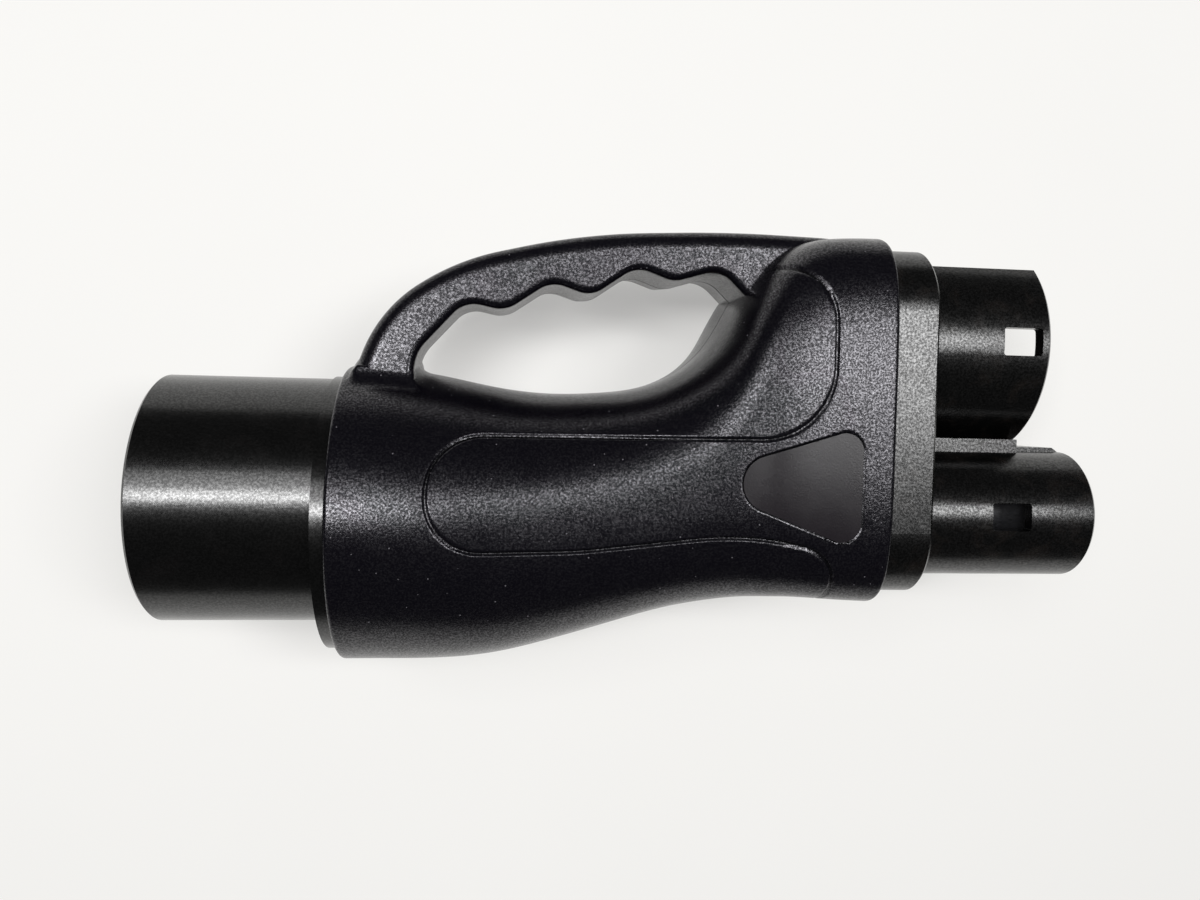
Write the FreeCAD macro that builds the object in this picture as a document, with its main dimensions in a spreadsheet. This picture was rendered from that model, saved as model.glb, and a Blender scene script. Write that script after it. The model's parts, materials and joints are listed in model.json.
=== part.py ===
import FreeCAD, Part
import math
import os
import re

import Sketcher
from FreeCAD import Placement, Rotation, Vector

# Electric vehicle charging adapter, direct current, lying on its side as it rests on a table.
# Millimetres. While a piece is drawn, x runs from the mouth of the round inlet tube towards the
# car-side plug, y from the belly to the handle and z from the far half shell to the near one, with
# the tube's axis and the parting plane of the housing at y = 0 and z = 0. The placements then put
# the origin under the middle of the adapter, on the surface that it lies on.

doc = FreeCAD.newDocument("charging_adapter")
sheet = doc.addObject("Spreadsheet::Sheet", "Sizes")

SIZES = [
    # inlet, charger side
    ("tube_reach", 52.0, "inlet tube, mouth to housing"),
    ("tube_radius", 36.0, "inlet tube outside"),
    ("tube_bore", 32.0, "inlet tube inside"),
    ("tube_lead", 1.2, "and wider by so much in its mouth"),
    ("lead_depth", 9.5, "depth of that wider mouth"),
    ("collar_depth", 3.8, "collar in front of the housing"),
    ("collar_radius", 40.4, "collar outside"),
    ("collar_drop", 3.7, "collar centre below the tube axis"),
    ("end_wall", 4.0, "housing wall that the inlet groove grips"),
    ("neck_radius", 32.4, "inlet neck inside that wall"),
    ("bead_radius", 34.4, "bead behind that wall"),
    ("bead_depth", 3.0, "bead width"),
    ("neck_bore", 26.0, "bore behind the seat of the core"),
    ("seat_depth", 42.0, "mouth to the seat of the core"),
    ("core_plate", 8.0, "plate of the inlet core"),
    ("core_tail", 16.0, "core behind its plate"),
    ("gasket", 1.0, "gaskets"),
    ("sleeve_recess", 10.0, "mouth to the inlet sleeves"),
    ("pin_recess", 4.0, "sleeve end to pin tip"),
    ("sleeve_seat", 2.0, "sleeves into their plates"),
    ("inlet_power_side", 16.2, "inlet power pins off the middle"),
    ("inlet_power_radius", 6.0, "inlet power pin"),
    ("inlet_power_shank", 8.0, "its shank"),
    ("inlet_power_sleeve", 10.5, "its sleeve outside"),
    ("inlet_earth_drop", 19.0, "inlet earth pin below the axis"),
    ("inlet_earth_radius", 3.0, "inlet earth pin"),
    ("inlet_earth_shank", 4.5, "its shank"),
    ("inlet_earth_sleeve", 6.5, "its sleeve outside"),
    ("signal_radius", 1.5, "signal pin"),
    ("signal_shank", 2.2, "its shank"),
    ("signal_sleeve", 3.7, "its sleeve outside"),
    ("pilot_rise", 21.5, "connection check pins above the axis"),
    ("pilot_side", 5.5, "and off the middle"),
    ("data_rise", 16.2, "data pins above the axis"),
    ("data_side", 15.2, "and off the middle"),
    ("supply_drop", 18.2, "auxiliary supply pins below the axis"),
    ("supply_side", 12.8, "and off the middle"),
    ("core_screw_radius", 28.6, "core screws off the axis"),
    ("core_screw_spread", 134.0, "degrees between the top one and its neighbours"),
    ("core_screw_reach", 17.0, "core screw below its head"),
    ("core_screw_shank", 1.5, "its shank"),
    ("core_screw_head", 2.5, "its head"),
    ("pin_chamfer", 1.0, "chamfer of a power pin's tip"),
    ("pin_tail", 4.0, "signal pin behind the core"),
    ("earth_tail", 10.0, "earth pin behind the core"),
    ("cup_depth", 5.0, "solder cup at a pin's rear"),
    ("collar_step", 1.6, "collar beyond its shank"),
    ("collar_width", 3.0, "collar behind a core"),
    ("key_width", 10.0, "key slot in the inlet tube"),
    ("key_depth", 2.0, "its depth"),
    # housing
    ("housing_length", 151.7, "housing, end to end"),
    ("half_width", 43.5, "widest half of the housing"),
    ("barrel_drop", 3.6, "barrel centre below the tube axis"),
    ("waist_width", 41.5, "half of the waist's width"),
    ("waist_top", 33.2, "waist above the tube axis"),
    ("block_top", 80.2, "block above the tube axis"),
    ("block_bottom", 25.2, "block below the tube axis"),
    ("wall", 4.0, "housing wall"),
    ("rim_round", 1.2, "rounding at both ends of the housing"),
    ("handle_top", 81.4, "handle above the tube axis"),
    ("handle_width", 20.0, "half of the handle's width"),
    ("handle_round", 5.0, "rounding of its outer edge"),
    ("finger_round", 2.0, "rounding of its finger edge"),
    ("groove_width", 1.2, "line groove"),
    ("groove_depth", 0.8, "its depth"),
    ("label_sink", 0.7, "label field, depth"),
    ("label_proud", 0.5, "label plate, thickness"),
    ("label_gap", 0.3, "gap round the label plate"),
    ("boss_radius", 6.2, "screw boss"),
    ("screw_radius", 1.75, "housing screw"),
    ("screw_head_radius", 3.6, "its head"),
    ("screw_head_height", 2.6, "its head's height"),
    ("screw_web", 10.0, "web under the head"),
    ("screw_bite", 12.0, "screw beyond the parting plane"),
    ("head_clearance", 0.6, "round the screw heads"),
    ("screw_clearance", 0.25, "round the screws in the far half"),
    ("thread_clearance", 0.05, "round the screws in the near half"),
    # plug, car side
    ("flange_depth", 12.9, "flange block in front of the housing"),
    ("flange_step", 3.5, "flange inside the housing's outline"),
    ("flange_round", 19.0, "flange corner"),
    ("spigot_depth", 12.0, "flange block inside the housing"),
    ("upper_reach", 38.0, "upper shell in front of the flange"),
    ("upper_radius", 31.5, "upper shell outside"),
    ("upper_flat", 22.6, "its flat above its axis"),
    ("upper_rise", 50.4, "its axis above the tube axis"),
    ("upper_wall", 4.0, "its wall"),
    ("lower_reach", 51.6, "lower shell in front of the flange"),
    ("lower_radius", 18.75, "lower shell outside, end arc"),
    ("lower_half", 35.0, "half of its width"),
    ("lower_wall", 3.5, "its wall"),
    ("lower_rise", 0.0, "its axis above the tube axis"),
    ("seat_step", 1.4, "step that the plug cores seat on"),
    ("plug_plate", 6.0, "plate of the plug cores"),
    ("front_wall", 6.6, "flange in front of that step"),
    ("window_length", 11.7, "lock window along the shell"),
    ("window_height", 8.0, "and across it"),
    ("upper_window_setback", 2.7, "upper shell rim to its window"),
    ("lower_window_setback", 19.7, "lower shell rim to its window"),
    ("web_half", 20.0, "half of the web's width"),
    ("web_thickness", 3.3, "web between the shells"),
    ("rib_half", 16.0, "half of the rib's width"),
    ("rib_proud", 1.3, "rib above the lower shell"),
    ("rib_setback", 0.8, "lower shell rim to the rib's end"),
    ("rim_chamfer", 0.8, "chamfer of both rims"),
    ("plug_power_side", 13.65, "plug power contacts off the middle"),
    ("plug_power_radius", 6.0, "plug power contact outside"),
    ("plug_power_bore", 4.0, "its bore"),
    ("plug_power_shank", 7.0, "its shank"),
    ("plug_power_sleeve", 8.6, "its sleeve outside"),
    ("plug_power_recess", 11.0, "lower rim to its sleeve"),
    ("plug_small_recess", 16.6, "upper rim to the upper sleeves"),
    ("plug_sleeve", 6.25, "upper sleeve outside"),
    ("plug_earth_radius", 4.4, "earth contact outside"),
    ("plug_earth_bore", 3.0, "its bore"),
    ("plug_pilot_radius", 2.6, "pilot contact outside"),
    ("plug_pilot_bore", 1.5, "its bore"),
    ("phase_side", 17.0, "middle row of the upper core"),
    ("phase_low_side", 8.5, "lower row, off the middle"),
    ("phase_low_drop", 14.5, "and below the upper axis"),
    ("plug_pilot_side", 9.5, "upper row, off the middle"),
    ("plug_pilot_rise", 11.5, "and above the upper axis"),
    ("plug_power_depth", 30.0, "depth of a plug power contact's bore"),
    ("phase_bore", 3.2, "blind phase sleeves, bore"),
    ("phase_depth", 18.0, "its depth"),
    ("contact_recess", 1.0, "sleeve end to contact tip"),
    ("contact_tail", 10.0, "small contacts behind the back plate"),
    ("pilot_tail", 4.0, "pilot contacts behind the back plate"),
    ("spigot_bead", 1.0, "bead round the flange block inside the housing"),
    ("bead_place", 4.0, "back of the block to that bead"),
    ("bead_length", 2.5, "its width"),
    ("back_plate", 6.0, "plate behind the plug cores"),
    ("block_wall", 6.0, "flange block round that plate"),
    ("plate_screw_radius", 1.6, "its screws"),
    ("plate_screw_head", 2.6, "their heads"),
    ("plate_screw_reach", 13.0, "their length below the head"),
    ("plate_screw_top", 64.3, "upper ones above the tube axis"),
    ("plate_screw_wide", 28.6, "and off the middle"),
    ("plate_screw_low", 24.0, "lower ones above the tube axis"),
    ("plate_screw_side", 29.0, "and off the middle"),
    # conductors and electronics
    ("bar_thickness", 4.0, "busbar"),
    ("bar_half", 11.0, "half of its height"),
    ("bar_face", 16.0, "its outer face off the middle"),
    ("bar_gap", 1.0, "collar to the busbar's end"),
    ("bolt_first", 6.5, "collar to the first bolt"),
    ("bolt_pitch", 10.5, "and to the next"),
    ("bolt_radius", 3.0, "busbar bolt"),
    ("bolt_head_radius", 5.0, "its head"),
    ("bolt_head_height", 3.4, "its head's height"),
    ("bolt_bite", 4.2, "bolt beyond the bar"),
    ("lug_length", 22.0, "flat tongue behind a contact"),
    ("lead_radius", 2.6, "earth lead"),
    ("wire_radius", 0.9, "signal wire"),
    ("board_length", 46.0, "control board"),
    ("board_half", 15.0, "half of its width"),
    ("board_thickness", 1.6, "its thickness"),
    ("board_depth", 29.0, "its face below the middle"),
    ("board_start", 62.0, "housing end to the board"),
    ("board_rise", 1.5, "its middle above the tube axis"),
    ("header_length", 6.0, "its wire headers"),
    ("header_height", 6.0, "their height"),
    ("pillar_radius", 3.6, "pillars that it stands on"),
    ("board_screw_inset", 4.0, "its screws from its edges"),
    ("board_screw_reach", 7.6, "their length below the head"),
    ("spacer_start", 50.0, "housing end to the busbar spacer"),
    ("spacer_length", 16.0, "its length"),
    ("spacer_lip", 2.5, "its lips over the busbars' edges"),
    ("sensor_start", 112.0, "housing end to the temperature sensors"),
    ("sensor_length", 8.0, "temperature sensor"),
    ("sensor_width", 6.0, "across the busbar"),
    ("sensor_height", 3.0, "off the busbar"),
    ("board_screw_radius", 1.4, "its screws"),
    ("seat_gap", 0.2, "clearance where a piece sits in another"),
    ("slip", 0.1, "clearance of a pin in its hole"),
]

ALIASES = {alias for alias, _value, _note in SIZES}


def fill_sheet():
    """Writes one row a size: its name, its number with the name as alias, and what it is."""
    for row, (alias, value, note) in enumerate(SIZES, start=1):
        sheet.set(f"A{row}", alias)
        sheet.set(f"B{row}", repr(value))
        sheet.setAlias(f"B{row}", alias)
        sheet.set(f"C{row}", note)
    doc.recompute()


def size(alias):
    """The sheet's number of that name."""
    return float(sheet.get(alias))


def bound(text):
    """An expression for the document: each size's name gets the sheet's name in front."""
    for alias in ALIASES:
        text = re.sub(rf"\b{alias}\b", "Sizes." + alias, text)
    return text


def number(text):
    """The value of such an expression, from the sheet's numbers."""
    names = {alias: size(alias) for alias in ALIASES}
    total = 0.0
    for sign, term in re.findall(r"([+-]?)([^+-]+)", text.replace(" ", "")):
        value = 1.0
        for factor in term.split("*"):
            parts = factor.split("/")
            value *= names.get(parts[0], 0.0) if parts[0] in names else float(parts[0])
            for part in parts[1:]:
                value /= names[part] if part in names else float(part)
        total += -value if sign == "-" else value
    return total


fill_sheet()

# Places along the adapter, from the mouth of the inlet tube.
HOUSING = "tube_reach"
CORE_SEAT = "seat_depth - gasket"
CORE_FACE = "seat_depth - gasket - core_plate"
CORE_BACK = "seat_depth - gasket + core_tail"
HOUSING_END = "tube_reach + housing_length"
FLANGE = "tube_reach + housing_length + flange_depth"
SPIGOT = "tube_reach + housing_length - spigot_depth"
PLUG_SEAT = "tube_reach + housing_length + flange_depth - front_wall"
PLUG_BACK = "tube_reach + housing_length + flange_depth - front_wall - plug_plate"
UPPER_RIM = "tube_reach + housing_length + flange_depth + upper_reach"
LOWER_RIM = "tube_reach + housing_length + flange_depth + lower_reach"

# What moves the drawing frame to the origin under the adapter.
MIDDLE_X = "-tube_reach/2 - housing_length/2 - flange_depth/2 - lower_reach/2"
MIDDLE_Y = "half_width/2 + barrel_drop/2 - handle_top/2"
MIDDLE_Z = "half_width"


PIECES = []


def settle(piece, label, x="0", y="0", z="0", rotation=Rotation()):
    """Names a finished piece and puts it in the part's frame, at a place given in the drawing frame."""
    PIECES.append(piece)
    piece.Label = label
    piece.Placement = Placement(Vector(), rotation)
    piece.setExpression("Placement.Base.x", bound(f"({x}) + ({MIDDLE_X})"))
    piece.setExpression("Placement.Base.y", bound(f"({y}) + ({MIDDLE_Y})"))
    piece.setExpression("Placement.Base.z", bound(f"({z}) + ({MIDDLE_Z})"))
    return piece


def locate(piece, x="0", y="0", z="0", rotation=Rotation()):
    """Puts a building block of a piece at its place in the drawing frame."""
    piece.Placement = Placement(Vector(), rotation)
    piece.setExpression("Placement.Base.x", bound(x))
    piece.setExpression("Placement.Base.y", bound(y))
    piece.setExpression("Placement.Base.z", bound(z))
    return piece


ALONG_X = Rotation(Vector(0, 1, 0), 90)
ALONG_Z = Rotation()
OVER = Rotation(Vector(1, 0, 0), 180)


def rod(radius, length, x, y="0", z="0", rotation=ALONG_X):
    """A round bar whose axis runs along x, or as the rotation says."""
    piece = doc.addObject("Part::Cylinder", "rod")
    piece.setExpression("Radius", bound(radius))
    piece.setExpression("Height", bound(length))
    return locate(piece, x, y, z, rotation)


def box(length, width, height, x, y, z):
    """A block from its low corner."""
    piece = doc.addObject("Part::Box", "block")
    piece.setExpression("Length", bound(length))
    piece.setExpression("Width", bound(width))
    piece.setExpression("Height", bound(height))
    return locate(piece, x, y, z)


def fused(pieces):
    """One solid of several that touch or overlap."""
    piece = doc.addObject("Part::MultiFuse", "joined")
    piece.Shapes = pieces
    piece.Refine = True
    return piece


def cut(base, tools):
    """A solid less others."""
    piece = doc.addObject("Part::Cut", "cut")
    piece.Base = base
    piece.Tool = tools[0] if len(tools) == 1 else fused(tools)
    return piece


def pipe(inside, outside, length, x, y="0", z="0"):
    """A round pipe along x."""
    return cut(rod(outside, length, x, y, z), [rod(inside, length + " + 2", x + " - 1", y, z)])


def turned(name, outline):
    """A body turned about x: outline gives (x, radius) of each corner, in order round the section."""
    body = doc.addObject("PartDesign::Body", name)
    sketch = body.newObject("Sketcher::SketchObject", name + "_section")
    plane = next(p for p in body.Origin.OriginFeatures if p.Role == "XY_Plane")
    sketch.AttachmentSupport = (plane, [""])
    sketch.MapMode = "FlatFace"
    corners = [Vector(number(x), number(r), 0) for x, r in outline]
    count = len(corners)
    for i in range(count):
        sketch.addGeometry(Part.LineSegment(corners[i], corners[(i + 1) % count]), False)
    for i in range(count):
        sketch.addConstraint(Sketcher.Constraint("Coincident", i, 2, (i + 1) % count, 1))
    for i, (x, r) in enumerate(outline):
        if x == "0":
            sketch.addConstraint(Sketcher.Constraint("PointOnObject", i, 1, -2))
        else:
            k = sketch.addConstraint(Sketcher.Constraint("DistanceX", -1, 1, i, 1, corners[i].x))
            sketch.setExpression(f"Constraints[{k}]", bound(x))
        if r == "0":
            sketch.addConstraint(Sketcher.Constraint("PointOnObject", i, 1, -1))
        else:
            k = sketch.addConstraint(Sketcher.Constraint("DistanceY", -1, 1, i, 1, corners[i].y))
            sketch.setExpression(f"Constraints[{k}]", bound(r))
    turn = body.newObject("PartDesign::Revolution", name + "_turn")
    turn.Profile = sketch
    turn.ReferenceAxis = (sketch, ["H_Axis"])
    turn.Angle = 360
    body.Tip = turn
    return body


def group(pieces):
    """Identical fasteners or pins kept together as separate solids."""
    piece = doc.addObject("Part::Compound", "group")
    piece.Links = pieces
    return piece


def made(label, shape):
    """A piece whose shape is worked out with the shape functions, in the drawing frame."""
    piece = doc.addObject("Part::Feature", label)
    piece.Shape = shape
    return settle(piece, label)


# Curves and outlines


def rounded_path(corners, closed=False):
    """Straight runs joined by tangent arcs: each corner is (x, y, z, radius of its arc)."""
    points = [Vector(*c[:3]) for c in corners]
    count = len(points)
    edges = []
    stops = []
    for i, point in enumerate(points):
        radius = corners[i][3]
        if radius <= 0:
            stops.append((point, point))
            edges.append(None)
            continue
        before = (points[i - 1] - point).normalize()
        after = (points[(i + 1) % count] - point).normalize()
        half = before.getAngle(after) / 2
        back = radius / math.tan(half)
        middle = (before + after).normalize()
        top = point + middle * (radius / math.sin(half) - radius)
        stops.append((point + before * back, point + after * back))
        edges.append(Part.Arc(stops[i][0], top, stops[i][1]).toShape())
    path = []
    for i in range(count):
        if edges[i] is not None:
            path.append(edges[i])
        following = (i + 1) % count
        if following == 0 and not closed:
            continue
        if stops[i][1].distanceToPoint(stops[following][0]) > 1e-6:
            path.append(Part.LineSegment(stops[i][1], stops[following][0]).toShape())
    return Part.Wire(path)


def cylinder(x, length, radius, y=0.0, z=0.0):
    """A round bar along x, from a place in the drawing frame."""
    return Part.makeCylinder(radius, length, Vector(x, y, z), Vector(1, 0, 0))


def upright(x, y, low, high, radius):
    """A round bar along z."""
    return Part.makeCylinder(radius, high - low, Vector(x, y, low), Vector(0, 0, 1))


def prism(wire, length):
    """The solid that a flat outline sweeps along x."""
    return Part.Face(wire).extrude(Vector(length, 0, 0))


def block_wire(x, half, top, bottom, corner):
    """The flange's outline: a rounded rectangle across x."""
    corners = [(top, -half), (top, half), (bottom, half), (bottom, -half)]
    return rounded_path([(x, *place, corner) for place in corners], closed=True)


def inset_wire(x, inset):
    """That outline at the flange's size, drawn in all round by so much."""
    half = FLANGE_HALF - inset
    return block_wire(x, half, FLANGE_TOP - inset, FLANGE_BOTTOM + inset, size("flange_round") - inset)


def upper_wire(x, grow):
    """The upper shell's D-shaped outline, grown by a distance: a circle with a flat towards the handle."""
    radius = size("upper_radius") + grow
    flat = size("upper_flat") + grow
    rise = size("upper_rise")
    half = math.sqrt(radius ** 2 - flat ** 2)
    ends = [Vector(x, rise + flat, side * half) for side in (1, -1)]
    arc = Part.Arc(ends[0], Vector(x, rise - radius, 0), ends[1]).toShape()
    return Part.Wire([arc, Part.LineSegment(ends[1], ends[0]).toShape()])


def lower_wire(x, grow):
    """The lower shell's outline, grown by a distance: two half circles joined by flats."""
    radius = size("lower_radius") + grow
    side = size("lower_half") - size("lower_radius")
    rise = size("lower_rise")
    corners = [Vector(x, rise + radius, -side), Vector(x, rise + radius, side)]
    corners += [Vector(x, rise - radius, side), Vector(x, rise - radius, -side)]
    right = Part.Arc(corners[1], Vector(x, rise, side + radius), corners[2]).toShape()
    left = Part.Arc(corners[3], Vector(x, rise, -side - radius), corners[0]).toShape()
    flats = [Part.LineSegment(corners[a], corners[b]).toShape() for a, b in ((0, 1), (2, 3))]
    return Part.Wire([flats[0], right, flats[1], left])


# Housing
#
# Stations of the moulded body: distance from the housing's left end, top and bottom from the tube axis,
# half of the width, and how square the section is, where 2 is an ellipse.

LEFT = size("tube_reach")
LENGTH = size("housing_length")
HALF = size("half_width")
BARREL_TOP = HALF - size("barrel_drop")
BARREL_BOTTOM = -HALF - size("barrel_drop")
WAIST_TOP = size("waist_top")
WAIST = size("waist_width")
BLOCK_TOP = size("block_top")
BLOCK_BOTTOM = -size("block_bottom")

STATIONS = [
    (0.0, BARREL_TOP, BARREL_BOTTOM, HALF, 2.0),
    (12.0, BARREL_TOP - 0.3, BARREL_BOTTOM, HALF, 2.0),
    (28.0, BARREL_TOP - 2.3, BARREL_BOTTOM + 0.3, HALF - 0.3, 2.05),
    (44.0, WAIST_TOP + 1.4, BARREL_BOTTOM + 2.3, WAIST + 0.9, 2.2),
    (60.0, WAIST_TOP, BARREL_BOTTOM + 6.5, WAIST + 0.2, 2.35),
    (74.0, WAIST_TOP + 0.6, BLOCK_BOTTOM - 11.0, WAIST, 2.5),
    (86.0, WAIST_TOP + 2.4, BLOCK_BOTTOM - 7.0, WAIST, 2.7),
    (95.0, WAIST_TOP + 5.8, BLOCK_BOTTOM - 4.4, WAIST + 0.2, 2.9),
    (102.5, WAIST_TOP + 11.0, BLOCK_BOTTOM - 2.8, WAIST + 0.5, 3.1),
    (109.0, WAIST_TOP + 19.0, BLOCK_BOTTOM - 1.6, WAIST + 0.9, 3.4),
    (115.0, BLOCK_TOP - 17.0, BLOCK_BOTTOM - 0.8, HALF - 0.8, 3.8),
    (121.0, BLOCK_TOP - 8.5, BLOCK_BOTTOM - 0.4, HALF - 0.4, 4.2),
    (129.0, BLOCK_TOP - 2.6, BLOCK_BOTTOM - 0.2, HALF - 0.1, 4.6),
    (140.0, BLOCK_TOP - 0.4, BLOCK_BOTTOM - 0.6, HALF, 5.0),
    (LENGTH, BLOCK_TOP, BLOCK_BOTTOM - 1.2, HALF, 5.0),
]
STEPS = 16
OVERRUN = 3


def station_wire(station, inset):
    """Near half of a superellipse section, closed along the parting plane, moved inwards by inset."""
    along, top, bottom, width, power = station
    centre = (top + bottom) / 2
    tall = (top - bottom) / 2 - inset
    wide = width - inset
    points = []
    for i in range(-OVERRUN, STEPS + OVERRUN + 1):
        angle = math.pi * i / STEPS
        c = abs(math.cos(angle)) / tall
        s = abs(math.sin(angle)) / wide
        reach = (c ** power + s ** power) ** (-1 / power)
        points.append(Vector(LEFT + along, centre + reach * math.cos(angle), reach * math.sin(angle)))
    rim = Part.BSplineCurve()
    rim.interpolate(points)
    first = points[OVERRUN]
    last = points[-1 - OVERRUN]
    rim.segment(rim.parameter(first), rim.parameter(last))
    return Part.Wire([rim.toShape(), Part.LineSegment(last, first).toShape()])


def body_solid(inset, first=0.0, last=None):
    """The moulded body's near half, inset by a wall or a depth, between two distances along it."""
    last = LENGTH if last is None else last
    solid = Part.makeLoft([station_wire(s, inset) for s in STATIONS], True, False)
    if first > 0 or last < LENGTH:
        slab = Part.makeBox(last - first, 400, 200, Vector(LEFT + first, -200, -1))
        solid = solid.common(slab)
    return solid


# Corners of the handle's outer line, foot to block, and the arc at each: distance from the housing's left
# end, drop from the handle's top, radius. The last ones lie inside the block and the barrel.
BOW = [
    (2.0, 46.9, 12),
    (9.9, 25.7, 41),
    (31.5, 11.1, 70),
    (67.9, 2.1, 200),
    (110.5, -0.2, 400),
    (141.0, 0.4, 50),
    (150.4, 1.9, 5.4),
    (149.0, 22.0, 10),
    (134.0, 70.0, 12),
    (2.0, 72.0, 8),
]
# Corners of the finger line, foot to block: distance from the housing's left end, rise above the waist's
# top, radius. It rises through four scallops with three bumps between them; its lower side lies inside
# the waist.
FINGERS = [
    (19.9, -7.0, 4),
    (20.3, 10.0, 12),
    (34.1, 25.1, 8),
    (45.5, 22.7, 9),
    (58.4, 31.5, 8),
    (70.0, 27.7, 8),
    (82.9, 36.7, 8),
    (93.9, 32.8, 8),
    (107.4, 36.9, 8),
    (122.0, 22.6, 4),
    (111.0, 3.0, 8),
    (96.0, -7.0, 10),
    (70.0, -11.0, 10),
]


def handle_solid():
    """Near half of the looped handle: a flat-sided bow with four finger scallops on its inner edge."""
    top = size("handle_top")
    width = size("handle_width")
    bow = rounded_path([(LEFT + x, top - drop, 0, r) for x, drop, r in BOW], closed=True)
    fingers = rounded_path([(LEFT + x, WAIST_TOP + rise, 0, r) for x, rise, r in FINGERS], closed=True)
    solid = Part.Face(bow).extrude(Vector(0, 0, width))
    rim = [e for e in solid.Edges if e.BoundBox.ZMin > width - 1e-3]
    solid = solid.makeFillet(size("handle_round"), rim)
    solid = solid.cut(Part.Face(fingers).extrude(Vector(0, 0, width)))
    flat = next(f for f in solid.Faces if f.BoundBox.ZMin > width - 1e-3 and len(f.Wires) == 2)
    rim = next(w.Edges for w in flat.Wires if not w.isSame(flat.OuterWire))
    return solid.makeFillet(size("finger_round"), rim)


def groove_tool(outer):
    """The line groove of a side: round the tongue, along the waist and down the block's flank."""
    corners = [
        (112.0, 71.5, 0),
        (134.3, 65.6, 16),
        (134.3, 21.4, 20),
        (25.6, 20.8, 15),
        (25.6, -10.2, 14.5),
        (66.0, -9.4, 120),
        (111.0, -4.4, 90),
        (137.6, -9.6, 12),
        (135.0, -34.0, 0),
    ]
    path = rounded_path([(LEFT + x, y, 0, r) for x, y, r in corners])
    band = path.makeOffset2D(size("groove_width") / 2, join=0, fill=True, openResult=True)
    return band.extrude(Vector(0, 0, HALF + 10)).common(outer).cut(body_solid(size("groove_depth")))


def label_solid(shrink, low, high):
    """A plate that follows the body between two depths, in the label's rounded triangle."""
    corners = [(93.8, 10.4, 7.9), (142.8, 25.7, 5.2), (142.8, -9.0, 5.4)]
    wire = rounded_path([(LEFT + x, y, 0, r) for x, y, r in corners], closed=True)
    if shrink:
        wire = wire.makeOffset2D(-shrink, join=0, fill=False)
    plug = Part.Face(wire).extrude(Vector(0, 0, HALF + 10))
    return plug.common(body_solid(low)).cut(body_solid(high))


# Housing screws: distance from the housing's left end, and from the tube axis.
HANDLE_SCREWS = [(13.6, 48.5), (68.0, 70.0)]
BODY_SCREWS = [(47.0, 23.0), (128.0, 66.0), (132.0, -18.0), (96.0, -20.5), (32.0, -34.5)]
SCREWS = [(LEFT + x, y) for x, y in HANDLE_SCREWS + BODY_SCREWS]

# Centres of the control board's screws, in the drawing frame.
BOARD_ENDS = ["tube_reach + board_start + board_screw_inset"]
BOARD_ENDS.append("tube_reach + board_start + board_length - board_screw_inset")
BOARD_SIDES = ["board_rise - board_half + board_screw_inset", "board_rise + board_half - board_screw_inset"]
BOARD_SCREWS = [(x, y) for x in BOARD_ENDS for y in BOARD_SIDES]

FLANGE_HALF = HALF - size("flange_step")
FLANGE_TOP = BLOCK_TOP - size("flange_step")
FLANGE_BOTTOM = BLOCK_BOTTOM - 1.2 + size("flange_step")


def flange_bead(grow):
    """The bead round the flange block that the housing holds it by, grown by a clearance."""
    more = size("spigot_bead") + grow
    start = number(SPIGOT + " + bead_place") - grow
    return prism(inset_wire(start, -more), size("bead_length") + 2 * grow)


def moulding():
    """What both half shells share, near side up: body, handle, cavity, ends, screw bosses and groove."""
    outer = body_solid(0.0)
    groove = groove_tool(outer)
    ends = [e for e in outer.Edges if e.BoundBox.XLength < 1e-3 and e.BoundBox.ZMax > 10]
    outer = outer.makeFillet(size("rim_round"), ends)
    cavity = body_solid(size("wall"), size("end_wall"), LENGTH - size("spigot_depth"))
    bosses = [upright(LEFT + x, y, -1, HALF, size("boss_radius")) for x, y in BODY_SCREWS]
    cavity = cavity.cut(bosses)
    gap = size("seat_gap")
    neck = cylinder(LEFT - 1, size("end_wall") + 2, size("neck_radius") + gap)
    pocket = prism(inset_wire(number(SPIGOT), -gap), size("spigot_depth") + 1)
    bead = flange_bead(gap)
    return outer.fuse(handle_solid()).cut([cavity, neck, pocket, bead, groove])


def near_shell(shell):
    """The half that faces up: blind screw holes and the sunk label field."""
    deep = size("screw_bite") + 1
    tools = [upright(x, y, -1, deep, size("screw_radius") + size("thread_clearance")) for x, y in SCREWS]
    tools.append(label_solid(0, 0, size("label_sink")))
    return shell.cut(tools)


def far_shell(shell):
    """The half that faces down: screw tunnels from outside, and pillars for the control board."""
    top = size("board_depth") + size("board_thickness")
    feet = [(number(x), number(y)) for x, y in BOARD_SCREWS]
    pillars = [upright(x, y, top, HALF - 5, size("pillar_radius")) for x, y in feet]
    thread = size("board_screw_radius") + size("thread_clearance")
    tools = [upright(x, y, top - 1, HALF - 6, thread) for x, y in feet]
    head = size("screw_head_radius") + size("head_clearance")
    shank = size("screw_radius") + size("screw_clearance")
    for x, y in SCREWS:
        tools.append(upright(x, y, -1, size("screw_web") + 1, shank))
        tools.append(upright(x, y, size("screw_web"), HALF + 5, head))
    return shell.fuse(pillars).cut(tools).mirror(Vector(0, 0, 0), Vector(0, 0, 1))


SHELL = moulding()
made("housing_near", near_shell(SHELL))
made("housing_far", far_shell(SHELL))
sink = size("label_sink")
made("label_plate", label_solid(size("label_gap"), sink - size("label_proud"), sink - 0.05))

# Housing screws, driven from the far side.
screws = []
for x, y in HANDLE_SCREWS + BODY_SCREWS:
    place = f"tube_reach + {x}"
    below = "-screw_web - screw_head_height"
    head = rod("screw_head_radius", "screw_head_height", place, str(y), below, ALONG_Z)
    shank = rod("screw_radius", "screw_web + screw_bite", place, str(y), "-screw_web", ALONG_Z)
    screws.append(fused([head, shank]))
settle(group(screws), "housing_screws")


# Inlet, charger side

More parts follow.
